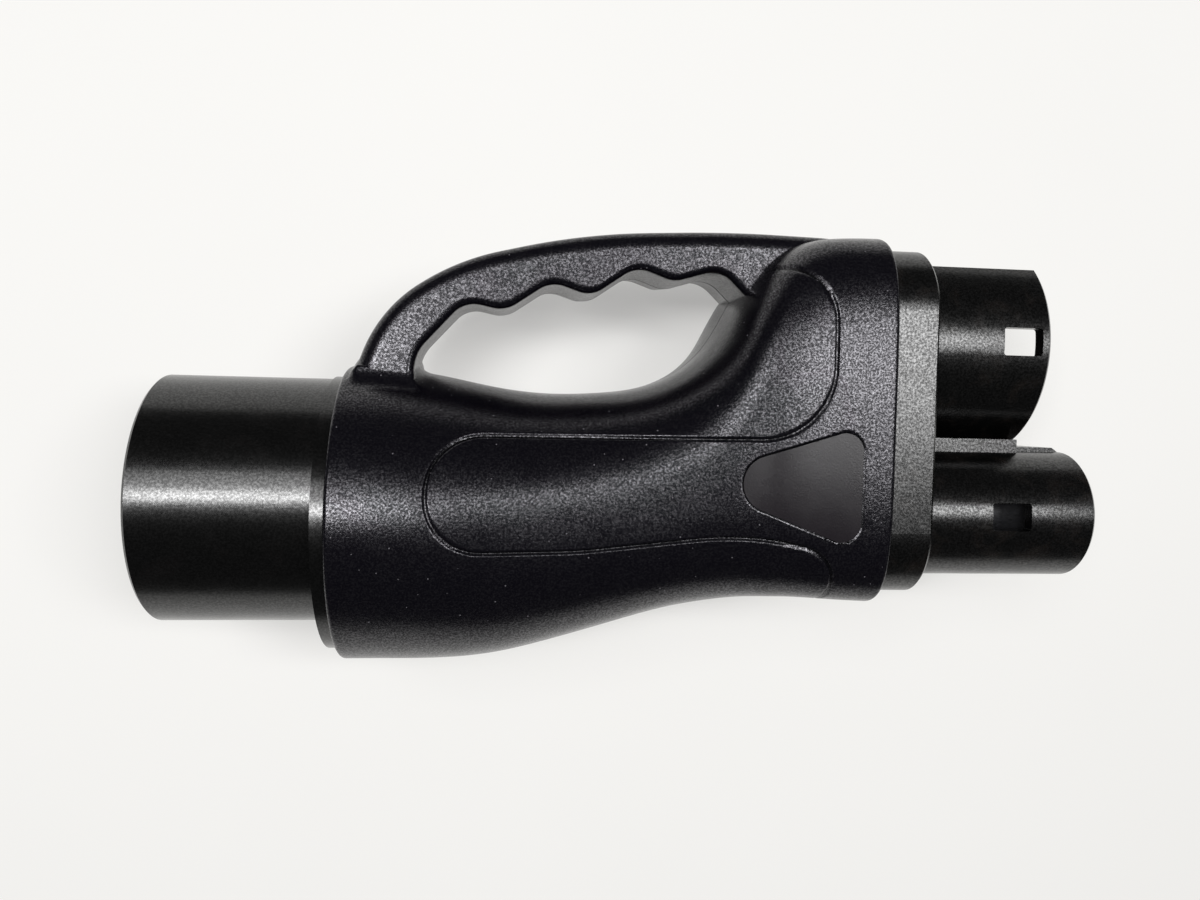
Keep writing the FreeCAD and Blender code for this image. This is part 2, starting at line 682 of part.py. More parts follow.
NECK_END = "tube_reach + end_wall + seat_gap"
BEAD_END = "tube_reach + end_wall + seat_gap + bead_depth"
tube = turned(
    "inlet_tube",
    [
        ("lead_depth", "tube_bore"),
        ("lead_depth", "tube_bore + tube_lead"),
        ("0", "tube_bore + tube_lead"),
        ("0", "tube_radius - rim_chamfer"),
        ("rim_chamfer", "tube_radius"),
        ("tube_reach", "tube_radius"),
        ("tube_reach", "neck_radius"),
        (NECK_END, "neck_radius"),
        (NECK_END, "bead_radius"),
        (BEAD_END, "bead_radius"),
        (BEAD_END, "neck_bore"),
        ("seat_depth", "neck_bore"),
        ("seat_depth", "tube_bore"),
    ],
)
disc = rod("collar_radius", "collar_depth", "tube_reach - collar_depth", "-collar_drop")
hollow = rod("tube_radius - wall/2", "collar_depth + 2", "tube_reach - collar_depth - 1")
collar = cut(disc, [hollow])
key = box(CORE_FACE + " + 1", "key_depth + 1", "key_width", "-1", "tube_bore - 1", "-key_width/2")


def core_screw_places():
    """The core screws' places round the tube axis: the top one, then its neighbours."""
    places = []
    for turn in (0, 1, -1):
        angle = math.radians(turn * size("core_screw_spread"))
        places.append((f"core_screw_radius*{math.cos(angle):.6f}", f"core_screw_radius*{math.sin(angle):.6f}"))
    return places


CORE_SCREWS = core_screw_places()
thread = "core_screw_shank + thread_clearance"
holes = [rod(thread, "core_screw_reach", CORE_FACE + " + 1", y, z) for y, z in CORE_SCREWS]
settle(cut(fused([tube, collar]), [key] + holes), "inlet_shell")

ring = turned(
    "inlet_ring",
    [
        (CORE_SEAT, "neck_bore + seat_step/2"),
        (CORE_SEAT, "tube_bore - seat_step/2"),
        ("seat_depth", "tube_bore - seat_step/2"),
        ("seat_depth", "neck_bore + seat_step/2"),
    ],
)
holes = [rod("core_screw_shank + slip", "gasket + 2", CORE_SEAT + " - 1", y, z) for y, z in CORE_SCREWS]
settle(cut(ring, holes), "inlet_gasket")

POWER = [("0", "inlet_power_side"), ("0", "-inlet_power_side")]
EARTH = ("-inlet_earth_drop", "0")
SIGNALS = [
    ("pilot_rise", "pilot_side"),
    ("pilot_rise", "-pilot_side"),
    ("data_rise", "data_side"),
    ("data_rise", "-data_side"),
    ("-supply_drop", "supply_side"),
    ("-supply_drop", "-supply_side"),
]
SLEEVES = [("inlet_power_sleeve", "inlet_power_shank", y, z) for y, z in POWER]
SLEEVES.append(("inlet_earth_sleeve", "inlet_earth_shank", *EARTH))
SLEEVES += [("signal_sleeve", "signal_shank", y, z) for y, z in SIGNALS]
disc = turned(
    "inlet_disc",
    [
        (CORE_FACE, "0"),
        (CORE_FACE, "tube_bore - seat_gap"),
        (CORE_SEAT, "tube_bore - seat_gap"),
        (CORE_SEAT, "neck_bore - seat_gap"),
        (CORE_BACK, "neck_bore - seat_gap"),
        (CORE_BACK, "0"),
    ],
)
holes = [rod("core_screw_shank + slip", "core_plate + 2", CORE_FACE + " - 1", y, z) for y, z in CORE_SCREWS]
for outside, inside, y, z in SLEEVES:
    holes.append(rod(f"{outside} + slip", "sleeve_seat + 1", CORE_FACE + " - 1", y, z))
    holes.append(rod(f"{inside} + slip", f"{CORE_BACK} - ({CORE_FACE}) + 2", CORE_FACE + " - 1", y, z))
settle(cut(disc, holes), "inlet_core")

INLET_SLEEVE = CORE_FACE + " - sleeve_recess + sleeve_seat"
pipes = []
for outside, inside, y, z in SLEEVES:
    pipes.append(pipe(f"{inside} + slip", outside, INLET_SLEEVE, "sleeve_recess", y, z))
settle(group(pipes[:2]), "inlet_power_sleeves")
settle(pipes[2], "inlet_earth_sleeve")
settle(group(pipes[3:]), "inlet_signal_sleeves")

screws = []
for y, z in CORE_SCREWS:
    head = rod("core_screw_head", "2", CORE_FACE + " - 2", y, z)
    screws.append(fused([head, rod("core_screw_shank", "core_screw_reach", CORE_FACE, y, z)]))
settle(group(screws), "inlet_core_screws")

PIN_TIP = "sleeve_recess + pin_recess"
COLLAR_END = CORE_BACK + " + collar_width"
BOLTS_IN = [COLLAR_END + " + bolt_first", COLLAR_END + " + bolt_first + bolt_pitch"]
LUG_BACK = PLUG_BACK + " - back_plate"
BOLTS_OUT = [LUG_BACK + " - bolt_first", LUG_BACK + " - bolt_first - bolt_pitch"]


def lug(base, start, shank, bolts):
    """Flattens the tongue behind a power contact down to the busbar's face and drills it for its bolts."""
    flat = box("lug_length + 2", f"2*{shank} + 2", "bar_face + 2", start, f"-{shank} - 1", "-2")
    drill = [rod("bolt_radius + slip", "bolt_bite + 3", x, "0", "bar_face - 2", ALONG_Z) for x in bolts]
    return cut(base, [flat] + drill)


for label, rotation in (("inlet_dc_positive", ALONG_Z), ("inlet_dc_negative", OVER)):
    pin = turned(
        label + "_bar",
        [
            (PIN_TIP, "0"),
            (PIN_TIP, "inlet_power_radius - pin_chamfer"),
            (PIN_TIP + " + pin_chamfer", "inlet_power_radius"),
            (CORE_FACE, "inlet_power_radius"),
            (CORE_FACE, "inlet_power_shank"),
            (CORE_BACK, "inlet_power_shank"),
            (CORE_BACK, "inlet_power_shank + collar_step"),
            (COLLAR_END, "inlet_power_shank + collar_step"),
            (COLLAR_END, "inlet_power_shank"),
            (COLLAR_END + " + lug_length", "inlet_power_shank"),
            (COLLAR_END + " + lug_length", "0"),
        ],
    )
    locate(pin, z="inlet_power_side")
    settle(lug(pin, COLLAR_END, "inlet_power_shank", BOLTS_IN), label, rotation=rotation)

pin = turned(
    "inlet_earth_bar",
    [
        (PIN_TIP, "0"),
        (PIN_TIP, "inlet_earth_radius - pin_chamfer/2"),
        (PIN_TIP + " + pin_chamfer/2", "inlet_earth_radius"),
        (CORE_FACE, "inlet_earth_radius"),
        (CORE_FACE, "inlet_earth_shank"),
        (CORE_BACK, "inlet_earth_shank"),
        (CORE_BACK, "inlet_earth_shank + collar_step"),
        (COLLAR_END, "inlet_earth_shank + collar_step"),
        (COLLAR_END, "inlet_earth_shank"),
        (CORE_BACK + " + earth_tail", "inlet_earth_shank"),
        (CORE_BACK + " + earth_tail", "lead_radius + slip"),
        (CORE_BACK + " + earth_tail - cup_depth", "lead_radius + slip"),
        (CORE_BACK + " + earth_tail - cup_depth", "0"),
    ],
)
settle(pin, "inlet_earth_pin", "0", *EARTH)


def signal_pin(name):
    """A thin pin with a thicker shank and a solder cup at its rear."""
    return turned(
        name,
        [
            (PIN_TIP, "0"),
            (PIN_TIP, "signal_radius"),
            (CORE_FACE, "signal_radius"),
            (CORE_FACE, "signal_shank"),
            (CORE_BACK + " + pin_tail", "signal_shank"),
            (CORE_BACK + " + pin_tail", "wire_radius + slip"),
            (CORE_BACK + " + pin_tail - cup_depth/2", "wire_radius + slip"),
            (CORE_BACK + " + pin_tail - cup_depth/2", "0"),
        ],
    )


pins = [locate(signal_pin(f"signal_pin_{i}"), "0", y, z) for i, (y, z) in enumerate(SIGNALS, start=1)]
settle(group(pins), "inlet_signal_pins")


# Plug, car side


def window(x, y):
    """A lock window through both flanks of a shell, from its far end and its middle height."""
    tall = size("window_height") / 2
    back = x - size("window_length")
    corners = [(x, y - tall), (x, y + tall), (back, y + tall), (back, y - tall)]
    wire = rounded_path([(*corner, -HALF, 0.8) for corner in corners], closed=True)
    return Part.Face(wire).extrude(Vector(0, 0, 2 * HALF))


def rib_solid():
    """The raised rib along the top of the lower shell, sloped down at its end."""
    low = size("lower_rise") + size("lower_radius")
    end = number(LOWER_RIM + " - rib_setback")
    high = low + size("rib_proud")
    run = 1.4 * size("rib_proud")
    start = number(FLANGE) - 2
    corners = [(start, low - 1), (start, high), (end - run, high), (end, low), (end, low - 1)]
    points = [Vector(x, y, -size("rib_half")) for x, y in corners]
    return Part.Face(Part.makePolygon(points + points[:1])).extrude(Vector(0, 0, 2 * size("rib_half")))


def plug_solid():
    """The flange block with both shells: mouths, lock windows, web, rib, core seats and the rear recess."""
    back = number(SPIGOT + " + gasket")
    seat = number(PLUG_SEAT)
    ledge = number(PLUG_BACK)
    flange = number(FLANGE)
    upper = number(UPPER_RIM)
    lower = number(LOWER_RIM)
    block = prism(inset_wire(back, 0.0), flange - back)
    edge = [e for e in block.Edges if e.BoundBox.XMin > flange - 1e-3]
    block = block.makeChamfer(size("rim_chamfer"), edge)
    shells = []
    for wire, rim in ((upper_wire, upper), (lower_wire, lower)):
        shell = prism(wire(flange - 1, 0.0), rim - flange + 1)
        edge = [e for e in shell.Edges if e.BoundBox.XMin > rim - 1e-3]
        shells.append(shell.makeChamfer(size("rim_chamfer"), edge))
    rise = size("upper_rise") - size("upper_radius") + 3.5
    half = size("web_half")
    reach = upper - 2.8 - flange + 1
    thick = size("web_thickness") + 1.5
    web = Part.makeBox(reach, thick, 2 * half, Vector(flange - 1, rise - thick, -half))
    solid = block.fuse(shells + [web, rib_solid(), flange_bead(0.0)])
    tools = [prism(inset_wire(back - 1, size("block_wall")), ledge - back + 1)]
    step = size("seat_step")
    tools.append(prism(upper_wire(ledge - 1, step - size("upper_wall")), seat - ledge + 1))
    tools.append(prism(upper_wire(seat - 1, -size("upper_wall")), upper - seat + 2))
    tools.append(prism(lower_wire(ledge - 1, step - size("lower_wall")), seat - ledge + 1))
    tools.append(prism(lower_wire(seat - 1, -size("lower_wall")), lower - seat + 2))
    tools.append(window(upper - size("upper_window_setback"), size("upper_rise") + 0.4))
    tools.append(window(lower - size("lower_window_setback"), size("lower_rise") + 0.4))
    thread = size("plate_screw_radius") + size("thread_clearance")
    deep = size("plate_screw_reach") - size("back_plate") + 2
    for y, z in PLATE_SCREWS:
        tools.append(cylinder(ledge - 1, deep, thread, number(y), number(z)))
    return solid.cut(tools)


PLATE_SCREWS = [("plate_screw_top", "plate_screw_wide"), ("plate_screw_top", "-plate_screw_wide")]
PLATE_SCREWS += [("plate_screw_low", "plate_screw_side"), ("plate_screw_low", "-plate_screw_side")]
made("plug_body", plug_solid())

PLUG_POWER = [("lower_rise", "plug_power_side"), ("lower_rise", "-plug_power_side")]
PLUG_PILOTS = [
    ("upper_rise + plug_pilot_rise", "plug_pilot_side"),
    ("upper_rise + plug_pilot_rise", "-plug_pilot_side"),
]
PHASES = [
    ("upper_rise", "phase_side"),
    ("upper_rise", "-phase_side"),
    ("upper_rise - phase_low_drop", "phase_low_side"),
    ("upper_rise - phase_low_drop", "-phase_low_side"),
]
SMALL_END = UPPER_RIM + " - plug_small_recess"
POWER_END = LOWER_RIM + " - plug_power_recess"


def core_blank(wire, wall):
    """A plug core's plate, which fits the seat in the flange block."""
    blank = doc.addObject("Part::Feature", "core_blank")
    grow = size("seat_step") - wall - size("seat_gap")
    blank.Shape = prism(wire(number(PLUG_BACK), grow), size("plug_plate"))
    return blank


SLEEVE_START = PLUG_SEAT + " - sleeve_seat"
SMALL_SLEEVE = f"({SMALL_END}) - ({SLEEVE_START})"
POWER_SLEEVE = f"({POWER_END}) - ({SLEEVE_START})"
SOCKETS = [("plug_pilot_radius", y, z) for y, z in PLUG_PILOTS] + [("plug_earth_radius", "upper_rise", "0")]

plate = core_blank(upper_wire, size("upper_wall"))
holes = [rod("plug_sleeve + slip", "sleeve_seat + 1", SLEEVE_START, y, z) for y, z in PHASES]
for inside, y, z in SOCKETS:
    holes.append(rod("plug_sleeve + slip", "sleeve_seat + 1", SLEEVE_START, y, z))
    holes.append(rod(f"{inside} + slip", "plug_plate + 2", PLUG_BACK + " - 1", y, z))
settle(cut(plate, holes), "plug_upper_core")

phases = []
for y, z in PHASES:
    blank = rod("plug_sleeve", SMALL_SLEEVE, SLEEVE_START, y, z)
    phases.append(cut(blank, [rod("phase_bore", "phase_depth + 1", SMALL_END + " - phase_depth", y, z)]))
settle(group(phases), "plug_phase_sleeves")
pipes = [pipe(f"{inside} + slip", "plug_sleeve", SMALL_SLEEVE, SLEEVE_START, y, z) for inside, y, z in SOCKETS]
settle(group(pipes[:2]), "plug_pilot_sleeves")
settle(pipes[2], "plug_earth_sleeve")

plate = core_blank(lower_wire, size("lower_wall"))
holes = []
for y, z in PLUG_POWER:
    holes.append(rod("plug_power_sleeve + slip", "sleeve_seat + 1", SLEEVE_START, y, z))
    holes.append(rod("plug_power_radius + slip", "plug_plate + 2", PLUG_BACK + " - 1", y, z))
settle(cut(plate, holes), "plug_lower_core")
BORE = "plug_power_radius + slip"
pipes = [pipe(BORE, "plug_power_sleeve", POWER_SLEEVE, SLEEVE_START, y, z) for y, z in PLUG_POWER]
settle(group(pipes), "plug_power_sleeves")

POWER_TIP = POWER_END + " - contact_recess"
SMALL_TIP = SMALL_END + " - contact_recess"
STEP_BACK = PLUG_BACK + " - collar_width"

for label, rotation in (("plug_dc_positive", ALONG_Z), ("plug_dc_negative", OVER)):
    contact = turned(
        label + "_bar",
        [
            (LUG_BACK + " - lug_length", "0"),
            (LUG_BACK + " - lug_length", "plug_power_shank"),
            (STEP_BACK, "plug_power_shank"),
            (STEP_BACK, "plug_power_shank + collar_step"),
            (PLUG_BACK, "plug_power_shank + collar_step"),
            (PLUG_BACK, "plug_power_radius"),
            (POWER_TIP, "plug_power_radius"),
            (POWER_TIP, "plug_power_bore"),
            (POWER_TIP + " - plug_power_depth", "plug_power_bore"),
            (POWER_TIP + " - plug_power_depth", "0"),
        ],
    )
    locate(contact, z="plug_power_side")
    start = LUG_BACK + " - lug_length - 2"
    settle(lug(contact, start, "plug_power_shank", BOLTS_OUT), label, rotation=rotation)


def small_contact(name, radius, bore, tail, hollow):
    """A socket contact with a collar behind its core and a solder cup at its rear."""
    back = f"{LUG_BACK} - {tail}"
    return turned(
        name,
        [
            (back + " + cup_depth", "0"),
            (back + " + cup_depth", hollow),
            (back, hollow),
            (back, radius),
            (STEP_BACK, radius),
            (STEP_BACK, radius + " + collar_step"),
            (PLUG_BACK, radius + " + collar_step"),
            (PLUG_BACK, radius),
            (SMALL_TIP, radius),
            (SMALL_TIP, bore),
            (SMALL_TIP + " - cup_depth*3", bore),
            (SMALL_TIP + " - cup_depth*3", "0"),
        ],
    )


hollow = "lead_radius + slip"
contact = small_contact("earth_socket", "plug_earth_radius", "plug_earth_bore", "contact_tail", hollow)
settle(contact, "plug_earth_contact", "0", "upper_rise", "0")

hollow = "wire_radius + slip"
sockets = []
for i, (y, z) in enumerate(PLUG_PILOTS, start=1):
    socket = small_contact(f"pilot_socket_{i}", "plug_pilot_radius", "plug_pilot_bore", "pilot_tail", hollow)
    sockets.append(locate(socket, "0", y, z))
settle(group(sockets), "plug_pilot_contacts")

blank = doc.addObject("Part::Feature", "back_blank")
INSET = size("block_wall") + size("seat_gap")
blank.Shape = prism(inset_wire(number(LUG_BACK), INSET), size("back_plate"))
holes = []
SHANKS = [("plug_power_shank", y, z) for y, z in PLUG_POWER]
SHANKS += [("plug_pilot_radius", y, z) for y, z in PLUG_PILOTS]
SHANKS.append(("plug_earth_radius", "upper_rise", "0"))
for shank, y, z in SHANKS:
    holes.append(rod(f"{shank} + slip", "back_plate + 2", LUG_BACK + " - 1", y, z))
    holes.append(rod(f"{shank} + collar_step + slip", "collar_width + 1", STEP_BACK, y, z))
holes += [rod("plate_screw_radius + slip", "back_plate + 2", LUG_BACK + " - 1", y, z) for y, z in PLATE_SCREWS]
settle(cut(blank, holes), "plug_back_plate")

screws = []
for y, z in PLATE_SCREWS:
    head = rod("plate_screw_head", "2", LUG_BACK + " - 2", y, z)
    screws.append(fused([head, rod("plate_screw_radius", "plate_screw_reach", LUG_BACK, y, z)]))
settle(group(screws), "plug_back_screws")


def gasket_solid():
    """The flat frame between the flange block and the ledge in the housing."""
    outer = inset_wire(number(SPIGOT), 0.0)
    inner = inset_wire(number(SPIGOT) - 1, size("wall"))
    return prism(outer, size("gasket")).cut(prism(inner, size("gasket") + 2))


made("plug_gasket", gasket_solid())


# Conductors between the two ends

BAR_START = COLLAR_END + " + bar_gap"
BAR_LENGTH = f"({LUG_BACK}) - ({COLLAR_END}) - 2*bar_gap"
inner = "bar_face - bar_thickness"
for label, rotation in (("busbar_positive", ALONG_Z), ("busbar_negative", OVER)):
    bar = box(BAR_LENGTH, "2*bar_half", "bar_thickness", BAR_START, "-bar_half", inner)
    drill = []
    for x in BOLTS_IN + BOLTS_OUT:
        drill.append(rod("bolt_radius + slip", "bar_thickness + 2", x, "0", inner + " - 1", ALONG_Z))
    settle(cut(bar, drill), label, rotation=rotation)

bolts = []
for x in BOLTS_IN + BOLTS_OUT:
    for side, rotation in (("", ALONG_Z), ("-", OVER)):
        head = doc.addObject("Part::Prism", "hexagon")
        head.Polygon = 6
        head.setExpression("Circumradius", bound("bolt_head_radius"))
        head.setExpression("Height", bound("bolt_head_height"))
        start = f"{side}(bar_face - bar_thickness - bolt_head_height)"
        locate(head, x, "0", start, rotation)
        start = f"{side}(bar_face - bar_thickness)"
        shank = rod("bolt_radius", "bar_thickness + bolt_bite", x, "0", start, rotation)
        bolts.append(fused([head, shank]))
settle(group(bolts), "busbar_bolts")

SPACER = "tube_reach + spacer_start"
height = "2*bar_half + 2*spacer_lip"
block = box("spacer_length", height, "2*bar_face", SPACER, "-bar_half - spacer_lip", "-bar_face")
height = "2*bar_half + 2*slip"
depth = "bar_thickness + slip + 1"
slots = []
for low in (inner + " - slip", "-bar_face - 1"):
    slots.append(box("spacer_length + 2", height, depth, SPACER + " - 1", "-bar_half - slip", low))
settle(cut(block, slots), "bar_spacer")

SENSOR = "tube_reach + sensor_start"
sensors = []
for low in ("bar_face", "-bar_face - sensor_height"):
    sensors.append(box("sensor_length", "sensor_width", "sensor_height", SENSOR, "-sensor_width/2", low))
settle(group(sensors), "temperature_sensors")


def lead(points, radius):
    """A round lead: straight runs joined by arcs as large as their two runs allow."""
    places = [Vector(*p) for p in points]
    corners = [(*points[0], 0)]
    for before, at, after in zip(places, places[1:], places[2:]):
        short = min(at.distanceToPoint(before), at.distanceToPoint(after))
        half = (before - at).getAngle(after - at) / 2
        corners.append((at.x, at.y, at.z, 0.45 * short * math.tan(half)))
    corners.append((*points[-1], 0))
    path = rounded_path(corners)
    ring = Part.Wire([Part.makeCircle(radius, places[0], places[1] - places[0])])
    return path.makePipeShell([ring], True, False)


EARTH_START = number(CORE_BACK + " + earth_tail - cup_depth")
EARTH_END = number(LUG_BACK + " - contact_tail + cup_depth")
EARTH_LOW = -size("inlet_earth_drop")
EARTH_HIGH = size("upper_rise")
EARTH_RUN = [
    (EARTH_START, EARTH_LOW, 0),
    (LEFT + 70, EARTH_LOW, 0),
    (LEFT + 97, 8, 0),
    (LEFT + 113, EARTH_HIGH, 0),
    (EARTH_END, EARTH_HIGH, 0),
]
made("earth_lead", lead(EARTH_RUN, size("lead_radius")))

BOARD_LEFT = LEFT + size("board_start")
BOARD_RIGHT = BOARD_LEFT + size("board_length")
BOARD_FACE = -size("board_depth")
BOARD_RISE = size("board_rise")
HEADER_DEPTH = BOARD_FACE + size("header_height") / 2


def signal_run(order):
    """A signal wire's way: over or under the busbars to its place in the board's header."""
    y, z = [number(text) for text in SIGNALS[order]]
    level = [24.0, 21.6, 17.4, 15.0, -23.6, -26.0][order]
    entry = BOARD_RISE + 6.0 - 2.4 * [1, 0, 3, 2, 4, 5][order]
    start = number(CORE_BACK + " + pin_tail - cup_depth/2")
    return [
        (start, y, z),
        (start + 6, y, z),
        (LEFT + 22, level, z),
        (LEFT + 36, level, -22),
        (LEFT + 52, entry, HEADER_DEPTH),
        (BOARD_LEFT + 1, entry, HEADER_DEPTH),
    ]


wires = [lead(signal_run(i), size("wire_radius")) for i in range(len(SIGNALS))]
made("signal_loom", Part.makeCompound(wires))


def pilot_run(side):
    """A pilot wire's way from the plug to the board: down past the screw boss and behind the far busbar."""
    y = number("upper_rise + plug_pilot_rise")
    z = side * size("plug_pilot_side")
    start = number(LUG_BACK + " - pilot_tail + cup_depth/2")
    entry = BOARD_RISE + 2.0 * side
    turn = LENGTH - 14.2
    return [
        (start, y, z),
        (LEFT + turn, y, z),
        (LEFT + turn, 43 - 2 * side, z),
        (LEFT + 128, 22 + 2 * side, -20),
        (LEFT + 117, entry, HEADER_DEPTH),
        (BOARD_RIGHT - 1, entry, HEADER_DEPTH),
    ]


wires = [lead(pilot_run(side), size("wire_radius")) for side in (1, -1)]
made("pilot_loom", Part.makeCompound(wires))


# Control board, on the far half's pillars

BOARD_X = "tube_reach + board_start"
BOARD_LOW = "board_rise - board_half"
under = "-board_depth - board_thickness"
board = box("board_length", "2*board_half", "board_thickness", BOARD_X, BOARD_LOW, under)
holes = []
for x, y in BOARD_SCREWS:
    holes.append(rod("board_screw_radius + slip", "board_thickness + 2", x, y, under + " - 1", ALONG_Z))
settle(cut(board, holes), "control_board")
chip = box("10", "10", "1.6", "0", "0", "0")
settle(chip, "board_chip", BOARD_X + " + 13", "board_rise - 2", "-board_depth")
converter = box("13", "9", "5", "0", "0", "0")
settle(converter, "board_converter", BOARD_X + " + 24", "board_rise - 11", "-board_depth")
block = box("header_length", "16", "header_height", BOARD_X, "board_rise - 8", "-board_depth")
holes = []
middle = "header_height/2 - board_depth"
for order in range(len(SIGNALS)):
    holes.append(rod("wire_radius + slip", "2", BOARD_X + " - 1", f"board_rise + {6.0 - 2.4 * order}", middle))
settle(cut(block, holes), "board_header")
start = BOARD_X + " + board_length - header_length"
block = box("header_length", "8", "header_height", start, "board_rise - 4", "-board_depth")
holes = []
for side in (1, -1):
    rise = f"board_rise + {2.0 * side}"
    holes.append(rod("wire_radius + slip", "2", BOARD_X + " + board_length - 1", rise, middle))
settle(cut(block, holes), "pilot_header")
screws = []
for x, y in BOARD_SCREWS:
    head = rod("2.4", "1.5", x, y, "-board_depth", ALONG_Z)
    shank = rod("board_screw_radius", "board_screw_reach", x, y, "-board_depth - board_screw_reach", ALONG_Z)
    screws.append(fused([head, shank]))
settle(group(screws), "board_screws")


# Checks and files

doc.recompute()
for thing in doc.Objects:
    if "Invalid" in thing.State or "Error" in thing.State:
        raise ValueError(f"{thing.Label} does not build: {thing.State}")
for piece in PIECES:
    if piece.Shape.isNull() or not piece.Shape.isValid() or piece.Shape.Volume <= 0:
        raise ValueError(f"{piece.Label} has no sound solid")
os.makedirs("parts", exist_ok=True)
for piece in PIECES:
    piece.Shape.exportStep("parts/" + piece.Label + ".step")
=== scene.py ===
"""Looks of the charging adapter: its moulded housing as worked-out surfaces, finishes, light and camera."""

import json
import math

import bpy
import numpy as np
from mathutils import Matrix


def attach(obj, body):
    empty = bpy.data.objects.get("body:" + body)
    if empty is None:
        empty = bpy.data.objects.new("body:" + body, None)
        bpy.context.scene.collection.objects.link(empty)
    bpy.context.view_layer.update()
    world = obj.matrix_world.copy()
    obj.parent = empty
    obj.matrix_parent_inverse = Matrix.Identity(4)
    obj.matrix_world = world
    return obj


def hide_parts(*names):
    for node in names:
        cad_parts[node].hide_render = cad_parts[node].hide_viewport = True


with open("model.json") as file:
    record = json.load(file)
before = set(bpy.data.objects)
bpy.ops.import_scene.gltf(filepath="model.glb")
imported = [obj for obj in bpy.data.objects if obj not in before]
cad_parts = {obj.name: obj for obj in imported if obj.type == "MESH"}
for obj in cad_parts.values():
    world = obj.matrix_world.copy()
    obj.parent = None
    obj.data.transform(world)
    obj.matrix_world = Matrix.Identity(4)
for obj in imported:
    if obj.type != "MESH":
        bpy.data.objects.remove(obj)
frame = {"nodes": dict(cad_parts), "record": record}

bl_info = {
    "name": "Charging adapter",
    "version": (1, 0, 0),
    "blender": (4, 5, 0),
    "location": "View3D > Sidebar > Adapter",
    "description": "Dresses the charging adapter's frame with its moulded surfaces and finishes",
    "category": "Object",
}

# All shapes below are worked out in millimetres in the drawing's own frame: x from the mouth of the inlet
# tube, y from the tube's axis towards the handle, z from the parting plane towards the near half. ORIGIN
# is that frame's zero point in the row frame, in metres.
ORIGIN = np.array([-0.1341, -0.01715, 0.0435])
MM = 0.001

LEFT = 52.0  # where the housing starts
LENGTH = 151.7  # and how long it is
TUBE_RADIUS = 33.0  # hole in the housing's end round the inlet
GRIP_HALF = 20.0  # half of the handle's width
GRIP_INNER_ROUND = 2.0  # rounding of its finger edge
GRIP_OUTER_ROUND = 5.0  # and of its outer edge
PARTING = 0.3  # bevel at the parting plane
LAND = 1.8  # flat of one half on the other, inwards from that bevel
SCREW_BORE = 2.0  # hole in the floor of a screw tunnel
POCKET = (40.2, 76.9, -23.1, 19.2)  # pocket for the plug's block: half width, top, bottom, corner radius
POCKET_DEPTH = 8.0  # how far its wall is drawn into the body
GROOVE_FLAT = 0.32  # share of the groove's half width that is its flat bottom
GROOVE_LOWEST = 6.0  # the groove and the field's edge stay this high above the parting plane
FIELD_SNAP = 0.55  # vertices beside the field's edge go onto it or to this distance,
SNAP_REACH = 1.4  # up to this many times as far from it,
SNAP_HEIGHT = 0.8  # and only above this share of the half width, where the body isn't steep
FIELD_WALL = 0.35  # width of the field's sloping edge
FAR_AWAY = 50.0  # distance from a groove or edge where there is none
LINE_STEP = 0.8  # between the points of the groove's and the field's line
FINE_STEP = 0.35  # and of the handle's lines
SECTION_POINTS = 1600  # of a section's outline before its columns are chosen
END_ROWS = 4  # of each face at the body's ends

# Rows of the body along x between its rims: where they change their distance, and how many lie between.
# They are close together where the groove crosses them.
ROW_STOPS = (24.6, 28.0, 132.8, 135.4)
ROW_COUNTS = (43, 13, 199, 11, 30)
RIM_ROWS = 7
# Columns round a section: above, between and below the groove's long runs, how far they keep off the
# runs and the parting plane, and those in the groove itself.
COLUMNS = (128, 62, 84)
OFF_GROOVE = 1.3
OFF_PARTING = 0.8
BESIDE_GROOVE = np.array([-0.95, -0.62, -0.3, 0, 0.3, 0.62, 0.95])

# Rows of the handle, the last ones that close on the outer line's end, and how many are averaged.
GRIP_ROWS = 560
GRIP_LAST = 40
GRIP_AVERAGED = 41
# Where the columns of its walls start above the parting plane, and how many columns the finger wall, the
# finger edge, the flat side, the outer edge and the outer wall have.
WALL_START = 1.2
GRIP_COLUMNS = (12, 8, 34, 11, 10)

# Stations of the moulded body: distance from the housing's left end, top and bottom from the tube axis,
# half of the width, and how square the section is, where 2 is an ellipse.
STATIONS = np.array([
    (0.0, 39.9, -47.1, 43.5, 2.0),
    (12.0, 39.6, -47.1, 43.5, 2.0),
    (28.0, 37.6, -46.8, 43.2, 2.05),
    (44.0, 34.6, -44.8, 42.4, 2.2),
    (60.0, 33.2, -40.6, 41.7, 2.35),
    (74.0, 33.8, -36.2, 41.5, 2.5),
    (86.0, 35.6, -32.2, 41.5, 2.7),
    (95.0, 39.0, -29.6, 41.7, 2.9),
    (102.5, 44.2, -28.0, 42.0, 3.1),
    (109.0, 52.2, -26.8, 42.4, 3.4),
    (115.0, 63.2, -26.0, 42.7, 3.8),
    (121.0, 71.7, -25.6, 43.1, 4.2),
    (129.0, 77.6, -25.4, 43.4, 4.6),
    (140.0, 79.8, -25.8, 43.5, 5.0),
    (151.7, 80.2, -26.4, 43.5, 5.0),
])

# Corners of the handle's outer line, foot to block, and of its finger line: distance from the housing's
# left end, height above the tube axis, radius of the arc at the corner. The last runs are inside the block.
BOW = [(2.0, 34.5, 0), (9.9, 55.7, 41), (31.5, 70.3, 70), (67.9, 79.3, 200), (110.5, 81.6, 400),
       (141.0, 81.0, 50), (150.4, 79.5, 5.4), (149.0, 59.4, 0)]
FINGERS = [(19.9, 26.2, 0), (20.3, 43.2, 12), (34.1, 58.3, 8), (45.5, 55.9, 9), (58.4, 64.7, 8),
           (70.0, 60.9, 8), (82.9, 69.9, 8), (93.9, 66.0, 8), (107.4, 70.1, 8), (120.0, 57.8, 6),
           (143.0, 58.0, 0)]
